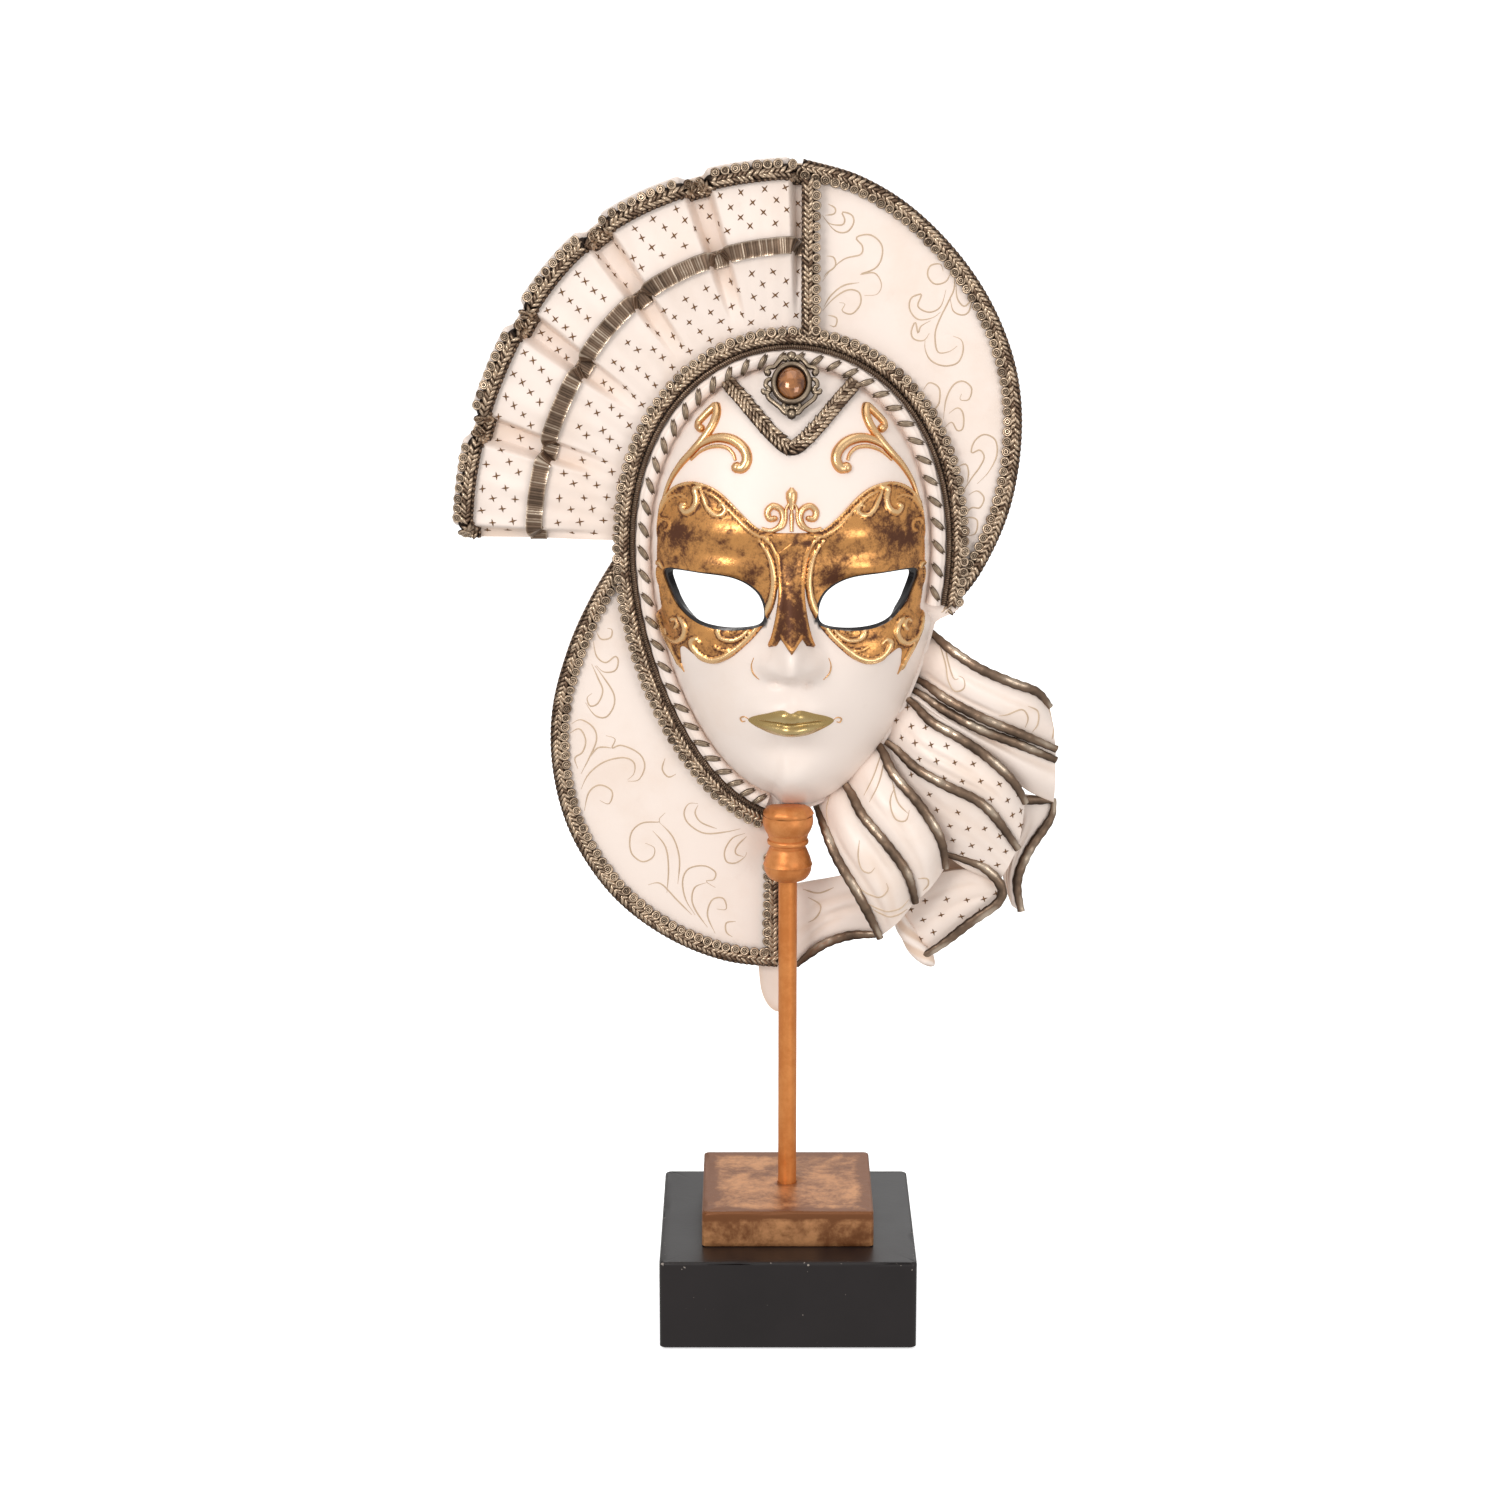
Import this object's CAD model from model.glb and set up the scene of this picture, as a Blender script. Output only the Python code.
"""Looks of a masquerade mask on its display stand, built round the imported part."""
import math
import random
import bmesh
import bpy
import numpy as np
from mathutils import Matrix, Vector
from mathutils.bvhtree import BVHTree
from mathutils.geometry import delaunay_2d_cdt


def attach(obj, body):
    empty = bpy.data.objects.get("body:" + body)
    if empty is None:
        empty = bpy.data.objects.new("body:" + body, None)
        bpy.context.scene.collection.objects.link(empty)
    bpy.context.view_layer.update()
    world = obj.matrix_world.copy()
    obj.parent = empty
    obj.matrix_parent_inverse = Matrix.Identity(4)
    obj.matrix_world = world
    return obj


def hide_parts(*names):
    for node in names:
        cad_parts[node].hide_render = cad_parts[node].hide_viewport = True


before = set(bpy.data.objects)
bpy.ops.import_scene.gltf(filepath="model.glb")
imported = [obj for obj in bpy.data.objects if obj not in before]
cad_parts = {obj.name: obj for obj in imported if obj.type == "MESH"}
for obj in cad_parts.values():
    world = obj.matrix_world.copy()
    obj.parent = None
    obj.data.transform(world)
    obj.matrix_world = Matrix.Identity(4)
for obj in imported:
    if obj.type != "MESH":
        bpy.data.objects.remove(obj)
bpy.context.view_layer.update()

# ---------------------------------------------------------------- camera
lens = bpy.data.cameras.new("camera")
lens.lens = 81.67
lens.sensor_width = 36
camera = bpy.data.objects.new("camera", lens)
camera.location = (-0.0137, -1.4211, 0.6033)
camera.rotation_euler = (math.radians(76), 0, 0)
bpy.context.scene.collection.objects.link(camera)
bpy.context.scene.camera = camera

# ---------------------------------------------------------------- sizes, in millimetres and degrees
# pieces of the mask are drawn from the middle of the face, those of the stand from under the plinth
FACE = np.array((1.0, 11.0, 321.5))
STAND = np.zeros(3)
FRONT = (0, -1, 0)
FACE_W, FACE_H, EGG, DOME, WALL = 131, 201, 0.17, 34, 3
BAND_W, BRAID_W, BRAID_H, PANEL_T, RIBBON_T = 7, 8, 3.6, 3, 1.8
BRAID_START, BRAID_END = -169, 95
LEAN, PLEAT_H, PLEATS = 5, 8, 5
PIPING_R = 1.5
PLINTH_W, PLINTH_FOOT, PLINTH_TOP = 110, 1, 40
BLOCK_W, BLOCK_TOP = 74, 56
ROD_R, ROD_FOOT, ROD_TOP, BORE_R, BORE_FOOT = 4, 12, 222, 4.05, 10
CUP_FOOT, COLLAR_FOOT = 194, 223


# ---------------------------------------------------------------- curves
def mix(a, b, t):
    return a + (b - a) * t


def ease(t):
    c = np.clip(t, 0, 1)
    return c * c * (3 - 2 * c)


def curve(points, n=6, closed=False):
    """Smooth curve through the points, with n steps between neighbours."""
    p = np.asarray(points, float)
    k = len(p)
    out = []
    for i in range(k if closed else k - 1):
        pick = (lambda m: p[m % k]) if closed else (lambda m: p[min(max(m, 0), k - 1)])
        a, b, c, d = pick(i - 1), pick(i), pick(i + 1), pick(i + 2)
        for j in range(n):
            t = j / n
            out.append(b + 0.5 * t * (c - a + t * (2 * a - 5 * b + 4 * c - d + t * (3 * (b - c) + d - a))))
    if not closed:
        out.append(p[-1])
    return np.array(out)


def even(path, step):
    """The same path with its points a step apart."""
    run = np.concatenate(([0], np.cumsum(np.linalg.norm(np.diff(path, axis=0), axis=1))))
    at = np.linspace(0, run[-1], max(2, int(round(run[-1] / step)) + 1))
    return np.stack([np.interp(at, run, path[:, i]) for i in range(path.shape[1])], 1)


def along(path, t):
    """Points at the parts t of a path, counted by its points."""
    s = np.clip(np.asarray(t) * (len(path) - 1), 0, len(path) - 1 - 1e-9)
    i = s.astype(int)
    return path[i] + (path[i + 1] - path[i]) * (s - i)[..., None]


def mirrored(points):
    return [[-p[0], p[1]] for p in points]


def circle(n):
    """Angles of n points round a circle."""
    return np.linspace(0, 2 * math.pi, n, endpoint=False)


# ---------------------------------------------------------------- the face's surface
def trimmed(t):
    """1 where the band and braid run round the face, 0 beside the chin and the ribbons."""
    return np.minimum(ease((BRAID_END + 5 - t) / 5), ease((t + 178) / 8))


def dome_edge(t):
    return -mix(2.8, BAND_W + 0.4, trimmed(t))


def rim_edge(t):
    return mix(-1.2, BRAID_W + 0.2, trimmed(t))


def oval(t, d=0.0):
    """Point of the face's outline at t degrees from its top, moved out by d."""
    a = np.radians(t)
    return np.stack([(FACE_W / 2 + d) * np.sin(a) * (1 + EGG * np.cos(a)), (FACE_H / 2 + d) * np.cos(a)], -1)


BROW_Z, NOSE_Z, MOUTH_Z, EYE_X = 28, -32, -52, 31.5
SIDE_RISES = [
    (26, BROW_Z, 20, 7, 3), (EYE_X, 2, 17, 11, -8), (EYE_X, 12, 14, 5, 4), (30, -13, 15, 4, 1.5),
    (9.5, NOSE_Z + 5, 4.5, 5, 5), (36, -24, 14, 12, 3.5), (50, 35, 10, 20, -2)]
MIDDLE_RISES = [
    (0, BROW_Z - 4, 9, 9, 2), (0, NOSE_Z + 9, 7, 7, 4), (0, MOUTH_Z + 5, 19, 15, 5),
    (0, MOUTH_Z + 3.5, 10, 3, 3), (0, MOUTH_Z - 3.5, 9, 3.4, 3.4), (0, -66, 12, 5, -2), (0, -80, 13, 9, 6)]


def rise(f, x, z):
    """Height of one feature, given as (x, z, half width, half height, height)."""
    return f[4] * np.exp(-((x - f[0]) / f[2]) ** 2 - ((z - f[1]) / f[3]) ** 2)


def features(x, z):
    nose = 17 * ease((24 - z) / 50) * ease((z - NOSE_Z + 5) / 9)
    width = mix(5.5, 8, ease((24 - z) / 50))
    out = nose * np.exp(-(x / width) ** 2)
    # nostrils, and the groove under the nose
    out = out - 2.6 * np.exp(-((np.abs(x) - 6.2) / 2.6) ** 2 - ((z + 35.2) / 1.7) ** 2)
    out = out - 0.8 * np.exp(-(x / 2.2) ** 2 - ((z + 41) / 4) ** 2)
    return out + sum(rise(f, x, z) for f in MIDDLE_RISES) + sum(rise(f, np.abs(x), z) for f in SIDE_RISES)


def face_part(x, z):
    """How far out to the dome's edge a point lies: 0 in the middle, 1 at the edge."""
    r = np.full(np.shape(x), 0.8)
    t = np.degrees(np.arctan2(x, z))
    for _ in range(10):
        d = dome_edge(t)
        w, h = FACE_W / 2 + d, FACE_H / 2 + d
        lean = 1 + EGG * np.clip(z / (h * np.maximum(r, 1e-3)), -1, 1)
        r = np.hypot(x / (w * lean), z / h)
        t = np.degrees(np.arctan2(x / (w * lean), z / h))
    return r


def face_y(x, z, r=None):
    r = face_part(x, z) if r is None else r
    return -(DOME * np.maximum(0, 1 - r ** 2.6) ** 0.62 + features(x, z) * ease((1 - r) / 0.12))


def face_normal(x, z):
    e = 0.3
    dx = (face_y(x + e, z) - face_y(x - e, z)) / (2 * e)
    dz = (face_y(x, z + e) - face_y(x, z - e)) / (2 * e)
    n = np.stack([dx, -np.ones_like(dx), dz], -1)
    return n / np.linalg.norm(n, axis=-1, keepdims=True)


def held(points, most=0.955):
    """Points of the plane, pulled in where they would leave the dome."""
    p = np.asarray(points, float)
    r = face_part(p[:, 0], p[:, 1])
    return p * np.minimum(1, most / np.maximum(r, 1e-6))[:, None]


def on_face(points, lift=0.0):
    """Path over the face, with the surface's direction at each point."""
    p = held(points)
    x, z = p[:, 0], p[:, 1]
    n = face_normal(x, z)
    return np.stack([x, face_y(x, z), z], 1) + n * lift, n


# ---------------------------------------------------------------- building meshes
class Form:
    """Points, faces and values of one piece, gathered part by part."""

    def __init__(self):
        self.points, self.faces, self.values, self.count = [], [], {}, 0

    def add(self, points, faces, **values):
        points = np.asarray(points, float).reshape(-1, 3)
        for name in set(self.values) | set(values):
            before = self.values.setdefault(name, [np.zeros(self.count)])
            new = np.asarray(values.get(name, 0.0), float).reshape(-1)
            before.append(np.broadcast_to(new, (len(points),)))
        self.points.append(points)
        self.faces += [tuple(int(i) + self.count for i in f) for f in faces]
        self.count += len(points)
        return self

    def piece(self, name, slot, material, replaces=(), body="mask", origin=FACE, crease=70):
        mesh = bpy.data.meshes.new(name)
        points = (np.concatenate(self.points) + origin) * 0.001
        mesh.from_pydata(points.tolist(), [], self.faces)
        for label, parts in self.values.items():
            values = np.concatenate(parts).astype(np.float32)
            mesh.attributes.new(label, "FLOAT", "POINT").data.foreach_set("value", values)
        work = bmesh.new()
        work.from_mesh(mesh)
        bmesh.ops.recalc_face_normals(work, faces=work.faces)
        work.to_mesh(mesh)
        work.free()
        mesh.shade_smooth()
        mesh.set_sharp_from_angle(angle=math.radians(crease))
        mesh.materials.append(material)
        obj = bpy.data.objects.new(name, mesh)
        bpy.context.scene.collection.objects.link(obj)
        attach(obj, body)
        if replaces:
            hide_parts(*replaces)
        return obj


def grid_faces(n, m, closed=True, caps=True):
    """Faces of n rings of m points; an open sheet's rows aren't closed into rings."""
    i = np.arange(n - 1)[:, None]
    j = np.arange(m if closed else m - 1)[None, :]
    a, b = i * m + j, i * m + (j + 1) % m
    faces = np.stack([a, b, b + m, a + m], -1).reshape(-1, 4).tolist()
    if closed and caps:
        faces += [list(range(m - 1, -1, -1)), [(n - 1) * m + k for k in range(m)]]
    return faces


def bore_faces(n, m):
    """Faces that join the last of n rings to the first, down an open bore."""
    return [((n - 1) * m + k, (n - 1) * m + (k + 1) % m, (k + 1) % m, k) for k in range(m)]


def level_ring(radius, z, a):
    return np.stack([radius * np.cos(a), radius * np.sin(a), np.full(len(a), float(z))], 1)


def frames(path, normal=FRONT):
    """Direction of travel, left side and outward direction at each point of a path."""
    run = np.gradient(path, axis=0)
    run /= np.linalg.norm(run, axis=1, keepdims=True)
    side = np.cross(np.broadcast_to(normal, path.shape), run)
    side /= np.linalg.norm(side, axis=1, keepdims=True)
    return run, side, np.cross(run, side)


def sweep(form, path, section, scale=1.0, normal=FRONT, **values):
    """Closed solid with a section of [to the left, outward] pairs carried along a path."""
    _, side, out = frames(path, normal)
    s = np.broadcast_to(np.asarray(section, float), (len(path),) + np.shape(section)[-2:])
    k = np.broadcast_to(np.asarray(scale, float), (len(path),))[:, None, None]
    rings = path[:, None] + side[:, None] * s[..., 0:1] * k + out[:, None] * s[..., 1:2] * k
    form.add(rings, grid_faces(len(path), s.shape[1]), **values)


def round_section(w, h, n=10):
    a = circle(n)
    return np.stack([w / 2 * np.cos(a), h / 2 * np.sin(a)], 1)


def tapered(n, start=0.3, end=0.3, reach=0.12):
    """Thickness along a path that thins towards both ends."""
    t = np.linspace(0, 1, n)
    return np.minimum(mix(start, 1, ease(t / reach)), mix(end, 1, ease((1 - t) / reach)))


def stamp(form, shape, places, wear=None):
    """Copies of a small shape; places are (centre, x axis, y axis, z axis, sizes)."""
    points, faces, height = shape
    n = len(points)
    centre = np.array([p[0] for p in places])
    axes = np.array([[np.asarray(axis) * size for axis, size in zip(p[1:4], p[4])] for p in places])
    out = centre[:, None] + np.einsum("pa,kab->kpb", points, axes)
    first = (np.arange(len(places)) * n)[:, None, None]
    all_faces = []
    for block in map(np.asarray, faces):
        if len(block):
            all_faces += (block[None] + first).reshape(-1, block.shape[1]).tolist()
    values = np.tile(height, len(places))
    form.add(out, all_faces, wear=values if wear is None else values * np.repeat(wear, n))


def leaf_shape(stations=6, around=6):
    """Pointed leaf, one long, one wide and one high, with a raised spine."""
    t = np.linspace(0.04, 0.96, stations)
    width = np.sin(np.pi * t) ** 0.8
    a = circle(around) + math.pi / 2
    rings = np.stack([np.broadcast_to((t - 0.5)[:, None], (stations, around)),
                      0.5 * width[:, None] * np.cos(a)[None], 0.5 * width[:, None] * np.sin(a)[None]], -1)
    faces = grid_faces(stations, around, caps=False)
    points = rings.reshape(-1, 3)
    ends = np.array([[-0.5, 0, 0], [0.5, 0, 0]])
    k = len(points)
    tips = [[(i + 1) % around, i, k] for i in range(around)]
    tips += [[k - around + i, k - around + (i + 1) % around, k + 1] for i in range(around)]
    points = np.concatenate([points, ends])
    return points, (faces, tips), np.clip(points[:, 2] * 1.6 + 0.35, 0, 1)


def ring_shape(around=14, tube=6):
    """Flat ring of outer radius one, lying in the plane of its first two axes."""
    a = circle(around)[:, None]
    b = circle(tube)[None]
    radius = 0.76 + 0.24 * np.cos(b)
    points = np.stack([radius * np.cos(a), radius * np.sin(a), 0.3 * np.sin(b) + 0 * a], -1).reshape(-1, 3)
    i, j = np.arange(around)[:, None], np.arange(tube)[None]
    here, ahead, beside = i * tube, (i + 1) % around * tube, (j + 1) % tube
    faces = np.stack([here + j, ahead + j, ahead + beside, here + beside], -1).reshape(-1, 4).tolist()
    return points, (faces, []), np.clip(points[:, 2] * 2 + 0.45, 0, 1)


def knob_shape(around=8):
    """Upper part of a ball of radius one."""
    a = circle(around)
    rings = [np.stack([np.cos(e) * np.cos(a), np.cos(e) * np.sin(a), np.sin(e) + 0 * a], -1)
             for e in (-0.4, 0.2, 0.7, 1.15)]
    points = np.concatenate(rings + [np.array([[0, 0, 1.0], [0, 0, -0.4]])])
    faces = grid_faces(4, around, caps=False)
    tips = [[3 * around + i, 3 * around + (i + 1) % around, 4 * around] for i in range(around)]
    tips += [[(i + 1) % around, i, 4 * around + 1] for i in range(around)]
    return points, (faces, tips), np.clip(points[:, 2] * 0.8 + 0.2, 0, 1)


LEAF, RING, KNOB = leaf_shape(), ring_shape(), knob_shape()


def inside(p, loop):
    """Which points lie inside a closed outline."""
    a, b = loop, np.roll(loop, -1, 0)
    hit = np.zeros(len(p), bool)
    for (x0, z0), (x1, z1) in zip(a, b):
        if z0 != z1:
            spans = (z0 > p[:, 1]) != (z1 > p[:, 1])
            hit ^= spans & (p[:, 0] < (x1 - x0) * (p[:, 1] - z0) / (z1 - z0) + x0)
    return hit


def nearest(p, path, closed=False):
    """Distance of each point from a path, and the part of the way along it."""
    a = path if closed else path[:-1]
    b = np.roll(path, -1, 0) if closed else path[1:]
    best, part = np.full(len(p), 1e9), np.zeros(len(p))
    for i, (s, e) in enumerate(zip(a, b)):
        d = e - s
        t = np.clip(((p - s) @ d) / max(d @ d, 1e-9), 0, 1)
        far = np.hypot(*(p - s - t[:, None] * d).T)
        near = far < best
        best, part = np.where(near, far, best), np.where(near, (i + t) / len(a), part)
    return best, part


def plate(outline, holes, fill, gap):
    """Flat triangles inside an outline and outside its holes, using the fill points."""
    loops = [outline] + holes
    keep = inside(fill, outline)
    for hole in holes:
        keep &= ~inside(fill, hole)
    points, edges = [], []
    for loop in loops:
        keep &= nearest(fill, loop, True)[0] > gap
        n, first = len(loop), len(points)
        points += [Vector(q) for q in loop]
        edges += [(first + i, first + (i + 1) % n) for i in range(n)]
    points += [Vector(q) for q in fill[keep]]
    found = delaunay_2d_cdt(points, edges, [], 0, 1e-6)
    flat = np.array([tuple(v) for v in found[0]])
    tris = np.array([t for t in found[2] if len(t) == 3])
    middle = flat[tris].mean(1)
    good = inside(middle, outline)
    for hole in holes:
        good &= ~inside(middle, hole)
    return flat, tris[good]


def border_faces(tris, n):
    """Wall faces between a layer of triangles and its copy n points later."""
    edges = np.concatenate([tris[:, [0, 1]], tris[:, [1, 2]], tris[:, [2, 0]]])
    key = np.sort(edges, 1)
    _, first, count = np.unique(key, axis=0, return_index=True, return_counts=True)
    return [(int(a), int(a) + n, int(b) + n, int(b)) for a, b in edges[first[count == 1]]]


def layer(form, front, back, tris, **values):
    """Closed solid from a front and a back layer over the same triangles."""
    n = len(front)
    faces = tris.tolist() + (tris[:, ::-1] + n).tolist() + border_faces(tris, n)
    both = {name: np.concatenate([np.broadcast_to(side, (n,)) for side in pair])
            for name, pair in values.items()}
    form.add(np.concatenate([front, back]), faces, **both)


def mesh_grid(outline, step):
    """Staggered points all over an outline's box."""
    lo, hi = outline.min(0), outline.max(0)
    x, z = np.arange(lo[0], hi[0] + step, step), np.arange(lo[1], hi[1] + step, step)
    gx, gz = np.meshgrid(x, z)
    gx = gx + (np.arange(len(z)) % 2)[:, None] * step / 2
    return np.stack([gx.ravel(), gz.ravel()], 1)


def ridges(p, lines):
    """Height of raised lines at flat points, and the grooves beside them.

    Each line is (path, half width, height); a groove is 0 beside its line and 1 away from it.
    """
    out, groove = np.zeros(len(p)), np.ones(len(p))
    for path, width, high in lines:
        c = curve(path, 6)
        lo, hi = c.min(0) - 3 * width, c.max(0) + 3 * width
        near = np.flatnonzero(((p > lo) & (p < hi)).all(1))
        d, t = nearest(p[near], c)
        w = width * np.minimum(mix(0.45, 1, ease(t / 0.15)), mix(0.45, 1, ease((1 - t) / 0.15)))
        q = d / w
        crest = high * np.sqrt(np.maximum(0, 1 - q * q)) * np.minimum(1, w / width + 0.3)
        out[near] = np.maximum(out[near], crest)
        groove[near] = np.minimum(groove[near], np.where(q > 0.9, ease((q - 1) / 0.8), 1))
    return out, groove


# ---------------------------------------------------------------- materials
def srgb(*shade):
    """Colour given as display values from 0 to 255, all of them over 10."""
    return tuple(((c / 255 + 0.055) / 1.055) ** 2.4 for c in shade) + (1.0,)


class Wire:
    """A shader value on which ordinary arithmetic adds Math nodes."""

    def __init__(self, finish, socket):
        self.finish, self.socket = finish, socket

    def _math(self, operation, a, b):
        return self.finish.node("ShaderNodeMath", {"operation": operation}, {0: a, 1: b})

    def __add__(self, other): return self._math("ADD", self, other)
    def __radd__(self, other): return self._math("ADD", other, self)
    def __sub__(self, other): return self._math("SUBTRACT", self, other)
    def __rsub__(self, other): return self._math("SUBTRACT", other, self)
    def __mul__(self, other): return self._math("MULTIPLY", self, other)
    def __rmul__(self, other): return self._math("MULTIPLY", other, self)


class Finish:
    """One material, built node by node."""

    def __init__(self, name):
        self.material = bpy.data.materials.new(name)
        self.material.use_nodes = True
        self.tree = self.material.node_tree
        self.tree.nodes.clear()
        self.place = self.node("ShaderNodeTexCoord", out="Object")

    def node(self, kind, settings=None, values=None, out=0):
        """A node of one type, with its settings and then its sockets' values or links."""
        made = self.tree.nodes.new(kind)
        for key, value in (settings or {}).items():
            setattr(made, key, value)
        for key, value in (values or {}).items():
            if isinstance(value, Wire):
                self.tree.links.new(value.socket, made.inputs[key])
            else:
                made.inputs[key].default_value = value
        return Wire(self, made.outputs[out]) if made.outputs else None

    def noise(self, scale, detail=4.0, rough=0.55, bend=0.0):
        return self.node("ShaderNodeTexNoise", None, {
            "Vector": self.place, "Scale": scale, "Detail": detail, "Roughness": rough, "Distortion": bend})

    def band(self, value, low, high):
        """0 below low, 1 above high, smooth between."""
        return self.node("ShaderNodeMapRange", {"interpolation_type": "SMOOTHSTEP"},
                         {"Value": value, "From Min": low, "From Max": high})

    def value(self, name):
        return self.node("ShaderNodeAttribute", {"attribute_name": name}, out="Fac")

    def blend(self, part, a, b):
        """Colour a where part is 0, colour b where it is 1."""
        return self.node("ShaderNodeMix", {"data_type": "RGBA"}, {0: part, 6: a, 7: b}, out=2)

    def bump(self, height, distance, strength=1.0):
        return self.node("ShaderNodeBump", None, {
            "Height": height, "Distance": distance, "Strength": strength})

    def done(self, colour, roughness, metallic=0.0, normal=None, **more):
        values = {"Base Color": colour, "Roughness": roughness, "Metallic": metallic}
        values.update({k.replace("_", " ").title().replace("Ior", "IOR"): v for k, v in more.items()})
        if normal is not None:
            values["Normal"] = normal
        skin = self.node("ShaderNodeBsdfPrincipled", None, values)
        self.node("ShaderNodeOutputMaterial", None, {"Surface": skin})
        return self.material


def ivory_paint(name, tone, warm=0.35, black_inside=False):
    """Cast resin in ivory paint, rubbed warm in its hollows."""
    f = Finish(name)
    cloud, grain, pits = f.noise(28, 5, 0.6), f.noise(900, 3), f.noise(210, 4)
    stain = f.band(cloud, 0.42, 0.75) * warm + f.value("wear") * 0.55
    colour = f.blend(stain, tone, srgb(214, 176, 140))
    colour = f.blend(f.band(f.noise(60, 6, 0.7), 0.62, 0.8) * 0.18, colour, srgb(196, 170, 150))
    rough = 0.36 + cloud * 0.2
    if black_inside:
        black = f.value("black")
        colour = f.blend(black, colour, (0.012, 0.01, 0.011, 1))
        rough = rough - black * 0.16
    return f.done(colour, rough, 0.0, f.bump(grain * 0.35 + pits, 0.00025, 0.35),
                  coat_weight=0.12, coat_roughness=0.25)


def gold_leaf(name, light, gold, brown, worn=0.5):
    """Metal leaf rubbed thin over a dark brown ground."""
    f = Finish(name)
    wear = f.value("wear")
    cloud, brush, speck = f.noise(75, 9, 0.68, 0.6), f.noise(320, 5, 0.7), f.noise(1100, 3, 0.6)
    leaf = f.band(cloud * 0.62 + brush * 0.38 + speck * 0.16 + wear * 0.34, worn, worn + 0.22)
    colour = f.blend(leaf, brown, gold)
    colour = f.blend(f.band(wear, 0.6, 1.1) * 0.6 * leaf, colour, light)
    rough = 0.5 - leaf * 0.28 + brush * 0.1
    depth = f.bump(brush * 0.6 + speck * 0.3 + cloud * 0.5, 0.0003, 0.5)
    return f.done(colour, rough, leaf * 0.55 + 0.42, depth)


def pewter_paint(name, dark, mid, light):
    """Dark metal paint in the hollows, rubbed bright on the crests."""
    f = Finish(name)
    wear = f.value("wear")
    cloud, speck = f.noise(160, 5, 0.6), f.noise(1300, 3)
    rub = wear + (cloud - 0.5) * 0.5
    colour = f.blend(f.band(rub, 0.15, 0.6), dark, mid)
    colour = f.blend(f.band(rub, 0.62, 1.05), colour, light)
    return f.done(colour, 0.44 - f.band(rub, 0.4, 1.0) * 0.16, 0.8, f.bump(cloud + speck * 0.5, 0.00025, 0.5))


def copper_paint(name, tone, dark, edges=0.0, metal=0.6):
    """Copper-gold metal paint, mottled and thin in places."""
    f = Finish(name)
    cloud, brush = f.noise(38, 7, 0.66, 0.4), f.noise(260, 6, 0.7)
    thin = f.band(cloud * 0.7 + brush * 0.3 - f.value("wear") * edges, 0.4, 0.62)
    colour = f.blend(thin, dark, tone)
    return f.done(colour, 0.36 + brush * 0.12, metal, f.bump(brush + cloud, 0.0003, 0.35))


def black_lacquer():
    """Satin black lacquer with a few pale chips, most of them on its edges."""
    f = Finish("black_lacquer")
    cloud, chips = f.noise(30, 6, 0.6), f.noise(520, 2, 0.5)
    chip = f.band(chips + f.value("wear") * 0.1, 0.78, 0.82)
    colour = f.blend(cloud, (0.007, 0.005, 0.005, 1), (0.016, 0.0115, 0.012, 1))
    colour = f.blend(chip, colour, srgb(150, 140, 132))
    return f.done(colour, 0.3 + cloud * 0.14, 0.0, f.bump(cloud + chips * 0.2, 0.0004, 0.25),
                  specular_ior_level=0.38)


def amber_glass():
    """Glossy clouded amber, paler on its dome."""
    f = Finish("amber_stone")
    cloud = f.noise(260, 5, 0.6, 0.8)
    colour = f.blend(f.band(cloud + f.value("wear") * 0.3, 0.4, 0.85), srgb(84, 42, 16), srgb(172, 110, 58))
    return f.done(colour, 0.16, 0.35, f.bump(cloud, 0.0004, 0.2), coat_weight=1.0)


def plain_finish(name, dark, light, scale, rough, metallic, depth):
    f = Finish(name)
    grain = f.noise(scale, 5, 0.65)
    return f.done(f.blend(grain, dark, light), rough + grain * 0.1, metallic, f.bump(grain, depth, 0.6))


IVORY = srgb(243, 229, 220)
face_paint = ivory_paint("ivory_face_paint", IVORY, 0.14, True)
resin = ivory_paint("ivory_resin_paint", srgb(246, 231, 221), 0.2)
shadow_paint = ivory_paint("inner_fold_paint", srgb(176, 152, 136), 0.4)
gold = gold_leaf("gold_leaf", srgb(255, 228, 180), srgb(230, 166, 100), srgb(88, 48, 24), 0.575)
gold_trim = gold_leaf("gold_trim", srgb(252, 222, 176), srgb(216, 160, 104), srgb(122, 78, 44), 0.42)
lip_paint = gold_leaf("lip_gilding", srgb(236, 218, 168), srgb(188, 160, 106), srgb(122, 98, 60), 0.3)
pewter = pewter_paint("pewter_trim", srgb(46, 35, 28), srgb(102, 81, 65), srgb(192, 170, 146))
piping_paint = pewter_paint("piping_metal", srgb(70, 56, 46), srgb(128, 106, 88), srgb(206, 188, 168))
silver = pewter_paint("silvered_metal", srgb(40, 31, 25), srgb(84, 69, 57), srgb(170, 152, 130))
lacing_paint = pewter_paint("lacing_metal", srgb(50, 40, 32), srgb(96, 79, 64), srgb(160, 142, 122))
cross_paint = plain_finish("cross_gilding", srgb(92, 62, 36), srgb(140, 102, 66), 700, 0.4, 0.5, 0.0001)
line_paint = plain_finish("engraved_line_stain", srgb(186, 158, 130), srgb(216, 194, 168), 300, 0.5, 0.0,
                          0.0001)
rod_paint = copper_paint("rod_gilding", srgb(224, 146, 80), srgb(206, 124, 60))
cup_paint = copper_paint("cup_gilding", srgb(222, 148, 86), srgb(196, 118, 58))
block_paint = copper_paint("worn_gilding", srgb(204, 146, 98), srgb(124, 76, 42), 0.6, 0.5)
lacquer = black_lacquer()
amber = amber_glass()
felt = plain_finish("felt", (0.012, 0.016, 0.013, 1), (0.03, 0.038, 0.032, 1), 1500, 0.9, 0.0, 0.0006)
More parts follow.
